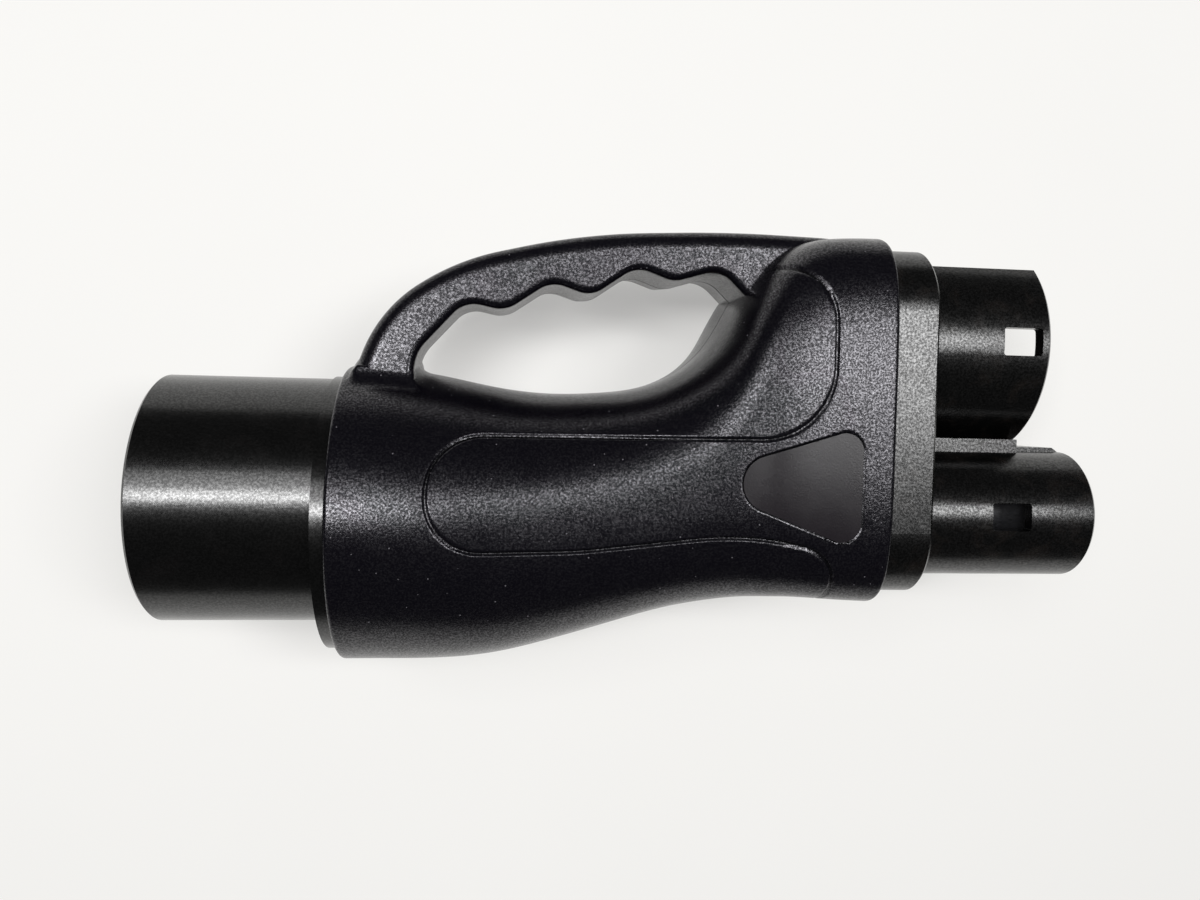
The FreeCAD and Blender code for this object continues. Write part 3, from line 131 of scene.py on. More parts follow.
# The line groove of a side, and the label field's rounded triangle.
GROOVE = [(112.0, 71.5, 0), (134.3, 65.6, 16), (134.3, 21.4, 20), (25.6, 20.8, 15), (25.6, -10.2, 14.5),
          (66.0, -9.4, 120), (111.0, -4.4, 90), (137.6, -9.6, 12), (135.0, -34.0, 0)]
GROOVE_RUN = (41, 114)  # from and to where its long runs go along the body
GROOVE_UPPER = (10, 40)  # heights that the upper run lies between; the lower one is below the axis
FIELD = [(93.8, 10.4, 7.9), (142.8, 25.7, 5.2), (142.8, -9.0, 5.4)]
# The handle's foot on the body, the angle in degrees between the two, where the round between them fades
# out beside the inlet, from and over which distance, and how far above the parting plane it starts.
FOOT = np.array([(2.0, 34.5), (7.5, 49.5), (20.3, 49.5), (19.9, 26.2), (2.0, 34.5)])
FOOT_ANGLE = 117
FOOT_FADE = (1.4, 3.0)
FOOT_LOWEST = 1.0
# Screw places of the far side, on the handle and on the body.
GRIP_SCREWS = [(13.6, 48.5), (68.0, 70.0)]
BODY_SCREWS = [(47.0, 23.0), (128.0, 66.0), (132.0, -18.0), (96.0, -20.5), (32.0, -34.5)]

# How much of the floor's paleness is its own. How bright the room is, which gloss and clear pieces see
# twice over, and what the camera sees above that.
OWN_SHARE = 0.4
ROOM = 0.03
ROOM_SEEN = 0.9

# The lights: name, middle x and y and size in x and y in metres, which setting their radiance follows, and
# by what factor.
LAMPS = (
    ("left strip", -0.47, 0.11, 0.54, 0.18, "strips", 1.9),
    ("left panel", -0.50, 0.40, 0.50, 0.44, "panel", 1.0),
    ("middle panel", 0.10, 0.29, 0.84, 0.14, "panel", 2.0),
    ("right strip", 0.58, 0.15, 0.58, 0.34, "strips", 0.9),
)

# The camera that the photograph was matched with: place, turns in radians about y, x and z, and lens for
# a frame 36 mm wide.
CAMERA_SPOT = (98.095, 27.036, 278.634)
CAMERA_TURNS = (0.10471, 0.03890, 0.02278)
CAMERA_LENS = 27.132


# Sizes and colours that a user would change


def linear(text):
    """An sRGB hex colour as linear numbers."""
    parts = [int(text[i:i + 2], 16) / 255 for i in (1, 3, 5)]
    return tuple(c / 12.92 if c <= 0.04045 else ((c + 0.055) / 1.055) ** 2.4 for c in parts) + (1.0,)


class ADAPTER_PG_housing(bpy.types.PropertyGroup):
    """Details of the moulded housing"""

    rim: bpy.props.FloatProperty(
        name="Rim rounding", description="Rounding at both ends of the body",
        default=0.0012, min=0.0004, max=0.003, precision=5, unit="LENGTH")
    groove_half: bpy.props.FloatProperty(
        name="Groove half width", description="From the middle of the line groove to its edge",
        default=0.0006, min=0.0004, max=0.0012, precision=5, unit="LENGTH")
    groove_depth: bpy.props.FloatProperty(
        name="Groove depth", description="How deep the line groove is cut",
        default=0.0008, min=0.0001, max=0.0015, precision=5, unit="LENGTH")
    field_depth: bpy.props.FloatProperty(
        name="Label field depth", description="How deep the label field is sunk",
        default=0.0007, min=0.0001, max=0.0012, precision=5, unit="LENGTH")
    foot_round: bpy.props.FloatProperty(
        name="Foot rounding", description="Concave round between the body and the handle's foot",
        default=0.007, min=0.001, max=0.012, precision=5, unit="LENGTH")
    far_taper: bpy.props.FloatProperty(
        name="Far side taper", description="How far the far half's finger wall leans back",
        default=0.0024, min=0.0, max=0.004, precision=5, unit="LENGTH")
    tunnel_radius: bpy.props.FloatProperty(
        name="Screw tunnel radius", description="Round the screw heads of the far side",
        default=0.0042, min=0.0038, max=0.006, precision=5, unit="LENGTH")
    tunnel_floor: bpy.props.FloatProperty(
        name="Screw tunnel floor", description="From the parting plane to the seat of the screw heads",
        default=0.010, min=0.005, max=0.015, precision=5, unit="LENGTH")


class ADAPTER_PG_finishes(bpy.types.PropertyGroup):
    """Colours and grain of the finishes"""

    grain: bpy.props.FloatProperty(
        name="Mould grain", description="Size of the pits that the eroded mould leaves",
        default=0.00055, min=0.0003, max=0.002, precision=5, unit="LENGTH")
    housing: bpy.props.FloatVectorProperty(
        name="Housing", description="Colour of the grained housing", subtype="COLOR", size=4,
        default=linear("#09080d"), min=0, max=1)
    fittings: bpy.props.FloatVectorProperty(
        name="Fittings", description="Colour of the tube and the plug shells", subtype="COLOR", size=4,
        default=linear("#040404"), min=0, max=1)
    label: bpy.props.FloatVectorProperty(
        name="Label plate", description="Colour of the bare label plate", subtype="COLOR", size=4,
        default=linear("#151216"), min=0, max=1)
    metal: bpy.props.FloatVectorProperty(
        name="Contacts", description="Colour of the silver plating", subtype="COLOR", size=4,
        default=linear("#d9d6cd"), min=0, max=1)
    floor: bpy.props.FloatVectorProperty(
        name="Floor", description="Colour of the pale table", subtype="COLOR", size=4,
        default=linear("#f1f0ed"), min=0, max=1)


class ADAPTER_PG_stage(bpy.types.PropertyGroup):
    """Light of the studio"""

    lamp_height: bpy.props.FloatProperty(
        name="Lamp height", description="Height of all lights above the floor",
        default=1.25, min=0.5, max=3.0, unit="LENGTH")
    strips: bpy.props.FloatProperty(
        name="Strip light", description="Radiance that the two strip lights over the object are set by",
        default=14.0, min=0.0, max=40.0)
    panel: bpy.props.FloatProperty(
        name="Panel light", description="Radiance that the two soft panels behind them are set by",
        default=4.2, min=0.0, max=40.0)


# Shapes


def rounded_line(corners, step=FINE_STEP, closed=False):
    """Points along straight runs joined by tangent arcs.

    An arc of radius r at a corner starts r / tan(half angle) before it and ends as far behind it.
    """
    spots = np.array([c[:2] for c in corners], float)
    points = []
    for i, corner in enumerate(corners):
        at = spots[i]
        if corner[2] <= 0:
            points.append(at[None])
            continue
        before = spots[i - 1] - at
        after = spots[(i + 1) % len(corners)] - at
        before /= np.linalg.norm(before)
        after /= np.linalg.norm(after)
        half = math.acos(float(np.clip(before @ after, -1, 1))) / 2
        middle = (before + after) / np.linalg.norm(before + after)
        centre = at + middle * corner[2] / math.sin(half)
        start = at + before * corner[2] / math.tan(half) - centre
        turn = math.pi - 2 * half
        sense = np.sign(start[1] * before[0] - start[0] * before[1])
        angles = sense * np.linspace(0, turn, max(3, int(turn * corner[2] / step)))
        arc = np.stack([start[0] * np.cos(angles) - start[1] * np.sin(angles),
                        start[0] * np.sin(angles) + start[1] * np.cos(angles)], 1)
        points.append(centre + arc)
    points = np.concatenate(points)
    if closed:
        points = np.concatenate([points, points[:1]])
    return evenly(points, step)


def evenly(points, step):
    """The same line with points at even distances along it."""
    reach = np.concatenate([[0], np.cumsum(np.linalg.norm(np.diff(points, axis=0), axis=1))])
    keep = np.concatenate([[True], np.diff(reach) > 1e-9])
    places = np.linspace(0, reach[-1], max(2, int(round(reach[-1] / step)) + 1))
    return np.stack([np.interp(places, reach[keep], points[keep, k]) for k in range(points.shape[1])], 1)


def natural_spline(places, values, wanted):
    """A cubic through the values whose curvature is continuous and ends at zero."""
    n = len(places)
    gap = np.diff(places)
    system = np.eye(n)
    right = np.zeros(n)
    for i in range(1, n - 1):
        system[i, i - 1:i + 2] = gap[i - 1], 2 * (gap[i - 1] + gap[i]), gap[i]
        right[i] = 6 * ((values[i + 1] - values[i]) / gap[i] - (values[i] - values[i - 1]) / gap[i - 1])
    bend = np.linalg.solve(system, right)
    k = np.clip(np.searchsorted(places, wanted) - 1, 0, n - 2)
    a = (places[k + 1] - wanted) / gap[k]
    b = 1 - a
    curve = ((a ** 3 - a) * bend[k] + (b ** 3 - b) * bend[k + 1]) * gap[k] ** 2 / 6
    return a * values[k] + b * values[k + 1] + curve


def section(x):
    """Middle height, half height, half width and squareness of the body at distances along the housing."""
    top, bottom, width, power = [natural_spline(STATIONS[:, 0], STATIONS[:, k], x) for k in range(1, 5)]
    return (top + bottom) / 2, (top - bottom) / 2, width, power


def body_height(x, y):
    """z of the near side above (x, y): half width times (1 - |y off the middle / half height|^n)^(1/n)."""
    middle, tall, wide, power = section(x)
    rest = 1 - np.abs((y - middle) / tall) ** power
    return wide * np.maximum(rest, 1e-6) ** (1 / power)


def nearest_on(line, points):
    """Each point's distance from a line of points, and the nearest place on that line."""
    best = np.full(len(points), 1e9)
    foot = np.zeros((len(points), 2))
    for a, b in zip(line[:-1], line[1:]):
        run = b - a
        t = np.clip((points - a) @ run / (run @ run), 0, 1)
        there = a + t[:, None] * run
        reach = np.hypot(points[:, 0] - there[:, 0], points[:, 1] - there[:, 1])
        closer = reach < best
        best[closer] = reach[closer]
        foot[closer] = there[closer]
    return best, foot


def inside(line, points):
    """Whether each point is inside a closed line, by counting the sides that a ray crosses."""
    odd = np.zeros(len(points), bool)
    for a, b in zip(line[:-1], line[1:]):
        spans = (a[1] > points[:, 1]) != (b[1] > points[:, 1])
        with np.errstate(divide="ignore", invalid="ignore"):
            cross = (b[0] - a[0]) * (points[:, 1] - a[1]) / (b[1] - a[1]) + a[0]
        odd ^= spans & (points[:, 0] < cross)
    return odd


def grid_faces(rows, columns, first=0, flip=False):
    """Quads of a grid of rows by columns of vertices."""
    i, j = np.meshgrid(np.arange(rows - 1), np.arange(columns - 1), indexing="ij")
    a = first + i * columns + j
    quads = np.stack([a, a + columns, a + columns + 1, a + 1], -1).reshape(-1, 4)
    return quads[:, ::-1] if flip else quads


def join_grids(grids):
    """Vertices and quads of several grids, each an array and whether it is turned over."""
    points = []
    faces = []
    count = 0
    for grid, flip in grids:
        faces.append(grid_faces(grid.shape[0], grid.shape[1], count, flip))
        points.append(grid.reshape(-1, 3))
        count += grid.shape[0] * grid.shape[1]
    return np.concatenate(points), np.concatenate(faces)


def place(points):
    """Millimetres of the drawing to metres of the row frame."""
    return points * MM + ORIGIN


def new_piece(name, points, faces, material, marks):
    """An object from vertices and quads, smooth, with numbers kept at its vertices."""
    mesh = bpy.data.meshes.new(name)
    mesh.vertices.add(len(points))
    mesh.vertices.foreach_set("co", place(points).astype(np.float32).ravel())
    mesh.loops.add(faces.size)
    mesh.loops.foreach_set("vertex_index", faces.astype(np.int32).ravel())
    mesh.polygons.add(len(faces))
    mesh.polygons.foreach_set("loop_start", np.arange(0, faces.size, faces.shape[1], dtype=np.int32))
    mesh.polygons.foreach_set("use_smooth", np.ones(len(faces), bool))
    mesh.update(calc_edges=True)
    for mark, values in marks.items():
        layer = mesh.attributes.new(mark, "FLOAT", "POINT")
        layer.data.foreach_set("value", values.astype(np.float32))
    mesh.materials.append(material)
    thing = bpy.data.objects.new(name, mesh)
    bpy.context.scene.collection.objects.link(thing)
    return thing


def body_rows(rim):
    """Distances of the body's rows: close on both rims, and where the groove runs across the housing."""
    end = rim * (1 - np.cos(np.linspace(0, math.pi / 2, RIM_ROWS)))
    stops = [rim, *ROW_STOPS, LENGTH - rim]
    rows = [np.linspace(a, b, count)[:-1] for a, b, count in zip(stops[:-1], stops[1:], ROW_COUNTS)]
    return np.concatenate([end[:-1]] + rows + [LENGTH - end[::-1]])


def groove_heights(x):
    """Heights at which the groove's upper and lower run pass a distance along the housing."""
    line = rounded_line(GROOVE, LINE_STEP)
    run = (line[:, 0] > GROOVE_RUN[0]) & (line[:, 0] < GROOVE_RUN[1])
    upper = line[run & (line[:, 1] > GROOVE_UPPER[0]) & (line[:, 1] < GROOVE_UPPER[1])][::-1]
    lower = line[run & (line[:, 1] < 0)]
    return np.interp(x, upper[:, 0], upper[:, 1]), np.interp(x, lower[:, 0], lower[:, 1])


def body_grid(rim):
    """The body's near side: rows along x, columns round each section that follow the groove's long runs.

    A section is a superellipse whose half axes follow the stations. At both ends it shrinks by
    r - sqrt(r^2 - d^2) over the rim's rounding r. The edges at the parting plane are broken by a small
    bevel, and a land runs inwards from them, so that two halves close on each other.
    """
    x = body_rows(rim)
    near = np.minimum(np.minimum(x, LENGTH - x), rim)
    inset = (rim - np.sqrt(np.maximum(rim ** 2 - (rim - near) ** 2, 0)))[:, None]
    middle, tall, wide, power = [v[:, None] for v in section(x)]
    tall = tall - inset
    wide = wide - inset
    angle = np.linspace(0, math.pi, SECTION_POINTS)[None]
    reach = (np.abs(np.cos(angle)) / tall) ** power + (np.abs(np.sin(angle)) / wide) ** power
    reach = reach ** (-1 / power)
    heights = middle + reach * np.cos(angle)
    depths = reach * np.sin(angle)
    steps = np.hypot(np.diff(heights, axis=1), np.diff(depths, axis=1))
    travel = np.concatenate([np.zeros((len(x), 1)), np.cumsum(steps, axis=1)], axis=1)
    total = travel[:, -1]
    runs = [np.array([np.interp(-g, -h, t) for g, h, t in zip(level, heights, travel)])
            for level in groove_heights(x)]
    nothing = np.zeros_like(total)
    wanted = np.concatenate([
        np.stack([nothing, nothing + PARTING], 1),
        np.linspace(nothing + OFF_PARTING, runs[0] - OFF_GROOVE, COLUMNS[0], axis=1),
        runs[0][:, None] + BESIDE_GROOVE,
        np.linspace(runs[0] + OFF_GROOVE, runs[1] - OFF_GROOVE, COLUMNS[1], axis=1),
        runs[1][:, None] + BESIDE_GROOVE,
        np.linspace(runs[1] + OFF_GROOVE, total - OFF_PARTING, COLUMNS[2], axis=1),
        np.stack([total - PARTING, total], 1),
    ], axis=1)
    y = np.stack([np.interp(w, t, h) for w, t, h in zip(wanted, travel, heights)])
    z = np.stack([np.interp(w, t, d) for w, t, d in zip(wanted, travel, depths)])
    z[:, [0, -1]] = 0
    y[:, 0] -= PARTING
    y[:, -1] += PARTING
    y = np.concatenate([y[:, :1] - LAND, y, y[:, -1:] + LAND], axis=1)
    z = np.concatenate([z[:, :1], z, z[:, -1:]], axis=1)
    return np.stack([np.broadcast_to(LEFT + x[:, None], y.shape), y, z], axis=2)


def foot_rise(grid, radius):
    """How far the body's surface rises where it runs into the handle's foot, as a concave round.

    The body meets the handle's flat side at 117 degrees. At a distance s from that corner the round stands
    r - sqrt(r^2 - (t - s)^2) above the body, and t, the length to where it ends, is r / tan(half of 117).
    """
    flat = grid.reshape(-1, 3)
    seen = flat[:, :2] - [LEFT, 0]
    beside = np.where(inside(FOOT, seen), 0, nearest_on(FOOT, seen)[0])
    corner = math.radians(FOOT_ANGLE)
    along = radius / math.tan(corner / 2)
    above = (flat[:, 2] - GRIP_HALF) / math.sin(corner)
    lowest = np.where(beside > 0, 0, along * math.cos(corner))
    below = np.where(beside > 0, beside, np.maximum(above, lowest))
    away = np.where(above > 0, np.hypot(above, beside), below)
    gap = np.clip(along - away, 0, radius)
    rise = radius - np.sqrt(radius ** 2 - gap ** 2)
    rise = rise * np.clip((seen[:, 0] - FOOT_FADE[0]) / FOOT_FADE[1], 0, 1)
    return np.where(flat[:, 2] > FOOT_LOWEST, rise, 0).reshape(grid.shape[:2])


def draw_beside(grid, line, half):
    """Moves the grid's points beside a line: the nearest ones onto it, the next ones to a set distance.

    A step along the line then has its vertices on its own edges. The points slide on the body's surface,
    where it isn't steep. Gives the moved grid and every point's distance from the line.
    """
    flat = grid.reshape(-1, 3).copy()
    seen = flat[:, :2] - [LEFT, 0]
    reach, foot = nearest_on(line, seen)
    away = (seen - foot) / np.maximum(reach, 1e-9)[:, None]
    wanted = np.where(reach < half / 2, 0.0, np.where(reach < half * SNAP_REACH, half, reach))
    near = (reach < half * SNAP_REACH) & (flat[:, 2] > SNAP_HEIGHT * section(seen[:, 0])[2])
    moved = foot + away * wanted[:, None]
    flat[near, :2] = moved[near] + [LEFT, 0]
    flat[near, 2] = body_height(moved[near, 0], moved[near, 1])
    reach = np.where(near, wanted, reach)
    return flat.reshape(grid.shape), np.where(flat[:, 2] > GROOVE_LOWEST, reach, FAR_AWAY)


def outward(grid):
    """Unit normals of the body's grid, away from its middle line."""
    normal = np.cross(np.gradient(grid, axis=0), np.gradient(grid, axis=1))
    normal /= np.maximum(np.linalg.norm(normal, axis=2), 1e-9)[..., None]
    middle = section(grid[:, 0, 0] - LEFT)[0][:, None]
    side = normal[..., 1] * (grid[..., 1] - middle) + normal[..., 2] * grid[..., 2]
    return normal * np.where(side < 0, -1, 1)[..., None]


def ring_to(outer, radius, x):
    """A face from a section's outline to a circle of a radius round the tube axis, at distance x."""
    angle = np.arctan2(outer[:, 2], outer[:, 1])
    inner = np.stack([np.full_like(angle, x), radius * np.cos(angle), radius * np.sin(angle)], 1)
    t = np.linspace(0, 1, END_ROWS)[:, None, None]
    return outer[None] * (1 - t) + inner[None] * t


def pocket_outline(x, angles, middle):
    """The pocket's rounded rectangle across x, read along rays at the angles from a middle height."""
    half, top, bottom, corner = POCKET
    corners = [(top, 0.0, 0), (top, half, corner), (bottom, half, corner), (bottom, 0.0, 0)]
    line = rounded_line(corners, LINE_STEP / 2)
    turn = np.arctan2(line[:, 1], line[:, 0] - middle)
    reach = np.interp(angles, turn, np.hypot(line[:, 1], line[:, 0] - middle))
    return np.stack([np.full_like(angles, x), middle + reach * np.cos(angles), reach * np.sin(angles)], 1)


def end_grids(row):
    """The body's end beside the plug: the face from its last section to the pocket, and the pocket's wall."""
    middle = float((row[0, 1] + row[-1, 1]) / 2)
    turn = np.arctan2(row[:, 2], row[:, 1] - middle)
    pocket = pocket_outline(LEFT + LENGTH, turn, middle)
    deep = pocket - [POCKET_DEPTH, 0, 0]
    t = np.linspace(0, 1, END_ROWS)[:, None, None]
    return row[None] * (1 - t) + pocket[None] * t, pocket[None] * (1 - t) + deep[None] * t


def grip_grid(taper):
    """One half of the handle: rows along the handle, columns round its section.

    A row joins a point of the finger line to the nearest one of the outer line. Its section runs from a
    land at the parting plane up the finger wall, round a 2 mm edge, across the flat side and round a
    5 mm edge down the outer wall, each corner a quarter circle. The finger wall leans back by the taper.
    """
    inner = rounded_line(FINGERS)
    outer = rounded_line(BOW)
    inner = evenly(inner, FINE_STEP * len(inner) / GRIP_ROWS)[:GRIP_ROWS]
    gaps = np.hypot(inner[:, :1] - outer[:, 0], inner[:, 1:] - outer[:, 1])
    partner = np.maximum.accumulate(np.argmin(gaps, axis=1)).astype(float)
    partner[0] = 0
    partner[-GRIP_LAST:] = np.linspace(partner[-GRIP_LAST], len(outer) - 1, GRIP_LAST)
    window = np.hanning(GRIP_AVERAGED)
    window /= window.sum()
    partner = np.convolve(np.pad(partner, GRIP_AVERAGED // 2, mode="edge"), window, mode="valid")
    count = np.arange(len(outer))
    outer = np.stack([np.interp(partner, count, outer[:, k]) for k in (0, 1)], 1)
    normals = []
    for line, side in ((inner, 1), (outer, -1)):
        run = np.gradient(line, axis=0)
        run /= np.maximum(np.linalg.norm(run, axis=1), 1e-9)[:, None]
        normals.append(side * np.stack([-run[:, 1], run[:, 0]], 1))
    small, large, width = GRIP_INNER_ROUND, GRIP_OUTER_ROUND, GRIP_HALF
    wall, edge, flat, outer_edge, outer_wall = GRIP_COLUMNS
    columns = [(inner + normals[0] * (PARTING + LAND), 0), (inner + normals[0] * PARTING, 0)]
    for z in np.concatenate([[PARTING], np.linspace(WALL_START, width - small, wall)]):
        columns.append((inner + normals[0] * taper * z / width, z))
    inner = inner + normals[0] * taper * (1 - small / width)
    for a in np.linspace(0, math.pi / 2, edge)[1:]:
        columns.append((inner + normals[0] * small * (1 - math.cos(a)), width - small + small * math.sin(a)))
    low = inner + normals[0] * small
    high = outer + normals[1] * large
    columns += [(low * (1 - s) + high * s, width) for s in np.linspace(0, 1, flat)[1:-1]]
    for a in np.linspace(math.pi / 2, 0, outer_edge):
        columns.append((outer + normals[1] * large * (1 - math.cos(a)), width - large + large * math.sin(a)))
    down = np.linspace(width - large, WALL_START, outer_wall)[1:]
    columns += [(outer, z) for z in np.concatenate([down, [PARTING]])]
    columns += [(outer + normals[1] * PARTING, 0), (outer + normals[1] * (PARTING + LAND), 0)]
    grid = np.stack([np.column_stack([line, np.full(len(line), z)]) for line, z in columns], axis=1)
    return grid + [LEFT, 0, 0]


def with_tunnels(points, faces, marks, places, radius, floor, bore):
    """Sinks round holes with flat floors into a surface that faces up.

    The quads that reach inside a circle go. From their outer edge a ring of quads runs straight to the
    circle, a wall runs down from it to the floor, and the floor is a ring as far as the bore.
    """
    for spot in places:
        off = points[:, :2] - [LEFT + spot[0], spot[1]]
        reach = np.hypot(off[:, 0], off[:, 1])
        hit = (reach[faces] < radius).any(axis=1) & (points[faces, 2].max(axis=1) > floor)
        gone = faces[hit]
        edges = np.concatenate([gone[:, [k, (k + 1) % 4]] for k in range(4)])
        code = edges @ [len(points), 1]
        back = edges @ [1, len(points)]
        rim = edges[~np.isin(code, back)]
        used, index = np.unique(rim, return_inverse=True)
        index = index.reshape(rim.shape) + len(points)
        circle = points[used].copy()
        circle[:, :2] += off[used] * (radius / reach[used] - 1)[:, None]
        low = circle.copy()
        low[:, 2] = floor
        bottom = low.copy()
        bottom[:, :2] -= off[used] * ((radius - bore) / reach[used])[:, None]
        n = len(used)
        ring = np.column_stack([rim[:, 0], rim[:, 1], index[:, 1], index[:, 0]])
        wall = np.column_stack([index[:, 0], index[:, 1], index[:, 1] + n, index[:, 0] + n]) + n
        seat = wall + 2 * n
        points = np.concatenate([points, circle, circle, low, low, bottom])
        faces = np.concatenate([faces[~hit], ring, wall, seat])
        marks = {name: np.concatenate([values, np.full(5 * n, FAR_AWAY)]) for name, values in marks.items()}
    return points, faces, marks


def moulded(name, node, side, grids, marks, material, sizes, screws):
    """A piece of a half shell from its near-side grids; the far side is their mirror image with tunnels."""
    points, faces = join_grids(grids)
    marks = {mark: np.concatenate([values, np.full(len(points) - len(values), FAR_AWAY)])
             for mark, values in marks.items()}
    if side < 0:
        floor = sizes.tunnel_floor / MM
        radius = sizes.tunnel_radius / MM
        points, faces, marks = with_tunnels(points, faces, marks, screws, radius, floor, SCREW_BORE)
        points = points * [1, 1, -1]
        faces = faces[:, ::-1]
    piece = new_piece(name, points, faces, material, marks)
    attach(piece, "root")
    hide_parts(node)


# Finishes


def per(size):
    """The scale that gives a pattern features of a size in millimetres on Object coordinates."""
    return 1 / (size * MM)


def feed(tree, node, links):
    """Links sources to a node's inputs by name: outputs, or nodes whose first output is meant."""
    for name, source in links.items():
        tree.links.new(getattr(source, "outputs", [source])[0], node.inputs[name])


def add(tree, kind, settings=None, links=None):
    """Adds a shader node: settings name its properties, inputs or colour stops, links feed its inputs."""
    node = tree.nodes.new("ShaderNode" + kind)
    for name, value in (settings or {}).items():
        if name == "stops":
            for stop, (spot, colour) in zip(node.color_ramp.elements, value):
                stop.position = spot
                stop.color = linear(colour)
        elif isinstance(name, int) or name in node.inputs:
            node.inputs[name].default_value = value
        else:
            setattr(node, name, value)
    feed(tree, node, links or {})
    return node


def new_material(name, settings):
    """A material with one Principled shader, and Object coordinates for its patterns."""
    material = bpy.data.materials.new(name)
    material.use_nodes = True
    tree = material.node_tree
    tree.nodes.clear()
    out = add(tree, "OutputMaterial")
    shader = add(tree, "BsdfPrincipled", settings)
    feed(tree, out, {"Surface": shader})
    where = add(tree, "TexCoord").outputs["Object"]
    return material, tree, shader, where


def grained_abs(finish):
    """Black ABS moulded in a spark-eroded tool.

    The tool's pits are drawn as a relief and as more or less gloss, so that they glitter. The bottom of
    the groove, the edge of the label field and the parting line get painted shade in near black, and a little
    dust lies on it.
    """
    settings = {"IOR": 1.54, "Specular Tint": linear("#faf8ff")}
    material, tree, shader, where = new_material("grained black ABS", settings)
    pits = add(tree, "TexNoise", {"Scale": per(finish.grain / MM), "Detail": 3.0, "Roughness": 0.7},
               {"Vector": where})
    wear = add(tree, "TexNoise", {"Scale": per(9.0), "Detail": 3.0}, {"Vector": where})
    gloss = add(tree, "MapRange", {"From Min": 0.3, "From Max": 0.7, "To Min": 0.21, "To Max": 0.26},
                {"Value": wear})
    bump = add(tree, "Bump", {"Strength": 1.0, "Distance": 0.045 * MM}, {"Height": pits})
    # Painted shade: the distances to the groove, to the label field's edge and to the parting line darken the
    # colour there.
    groove = add(tree, "Attribute", {"attribute_name": "groove"})
    line = add(tree, "MapRange", {"From Min": 0.15, "From Max": 0.5}, {"Value": groove.outputs["Fac"]})
    field = add(tree, "Attribute", {"attribute_name": "field"})
    edge = add(tree, "MapRange", {"From Min": 0.1, "From Max": 0.4}, {"Value": field.outputs["Fac"]})
    apart = add(tree, "SeparateXYZ", links={"Vector": where})
    above = add(tree, "Math", {"operation": "SUBTRACT", 1: float(ORIGIN[2])}, {0: apart.outputs["Z"]})
    height = add(tree, "Math", {"operation": "ABSOLUTE"}, {0: above})
    parting_shade = add(tree, "MapRange", {"From Min": 0.12 * MM, "From Max": 0.35 * MM}, {"Value": height})
    lines = add(tree, "Math", {"operation": "MINIMUM"}, {0: line, 1: edge})
    clear = add(tree, "Math", {"operation": "MINIMUM"}, {0: lines, 1: parting_shade})
    glitter = add(tree, "MapRange", {"From Min": 0.45, "From Max": 0.66, "To Min": 0.12, "To Max": 1.0},
                  {"Value": pits})
    # Painted shade: where any of the three masks is low, the housing's colour goes to near black.
    body = add(tree, "Mix", {"data_type": "RGBA", 6: linear("#030304"), 7: tuple(finish.housing)},
               {0: clear})
    specks = add(tree, "TexVoronoi", {"Scale": per(3.4)}, {"Vector": where})
    speck = add(tree, "MapRange", {"From Min": 0.045, "From Max": 0.07, "To Min": 0.5, "To Max": 0.0},
                {"Value": specks})
    dusty = add(tree, "Mix", {"data_type": "RGBA", 7: linear("#8d8a90")}, {0: speck, 6: body.outputs[2]})
    feed(tree, shader, {"Base Color": dusty.outputs[2], "Roughness": gloss, "Specular IOR Level": glitter,
                        "Normal": bump})
    return material


def moulded_nylon(name, colour, stain, gloss, patch, glint):
    """Satin black nylon from a lightly blasted mould.

    It has handling marks of the patch's size that change its gloss and its hue, faint flow lines along the
    tool's draw, and a fine grain of 0.6 mm that glints more or less by the amount given.
    """
    material, tree, shader, where = new_material(name, {"IOR": 1.56})
    marks = add(tree, "TexNoise",
                {"Scale": per(patch), "Detail": 6.0, "Roughness": 0.66, "Distortion": 0.5}, {"Vector": where})
    polish = add(tree, "MapRange",
                 {"From Min": 0.35, "From Max": 0.7, "To Min": gloss[0], "To Max": gloss[1]},
                 {"Value": marks})
    amount = add(tree, "MapRange", {"From Min": 0.5, "From Max": 0.8, "To Max": 0.7}, {"Value": marks})
    tint = add(tree, "Mix", {"data_type": "RGBA", 6: colour, 7: linear(stain)}, {0: amount})
    along = add(tree, "Mapping", {"Scale": (0.06, 1.0, 1.0)}, {"Vector": where})
    flow = add(tree, "TexNoise", {"Scale": per(1.6), "Detail": 3.0}, {"Vector": along})
    bump = add(tree, "Bump", {"Strength": 0.5, "Distance": 0.02 * MM}, {"Height": flow})
    pits = add(tree, "TexNoise", {"Scale": per(0.6), "Detail": 3.0, "Roughness": 0.7}, {"Vector": where})
    glitter = add(tree, "MapRange",
                  {"From Min": 0.42, "From Max": 0.64, "To Min": 0.5 - glint, "To Max": 0.5 + glint},
                  {"Value": pits})
    feed(tree, shader, {"Base Color": tint.outputs[2], "Roughness": polish, "Specular IOR Level": glitter,
                        "Normal": bump})
    return material


def patterned(name, settings, shades, size, stretch, gloss, relief):
    """A finish whose colour and gloss run between two values by a noise of a size in mm, with its relief."""
    material, tree, shader, where = new_material(name, settings)
    drawn = add(tree, "Mapping", {"Scale": stretch}, {"Vector": where})
    noise = add(tree, "TexNoise", {"Scale": per(size), "Detail": 4.0, "Roughness": 0.6}, {"Vector": drawn})
    stops = [(0.32, shades[0]), (0.68, shades[1])]
    colour = add(tree, "ValToRGB", {"stops": stops}, {"Fac": noise})
    polish = add(tree, "MapRange",
                 {"From Min": 0.3, "From Max": 0.7, "To Min": gloss[0], "To Max": gloss[1]}, {"Value": noise})
    bump = add(tree, "Bump", {"Strength": 1.0, "Distance": relief * MM}, {"Height": noise})
    feed(tree, shader, {"Base Color": colour, "Roughness": polish, "Normal": bump})
    return material


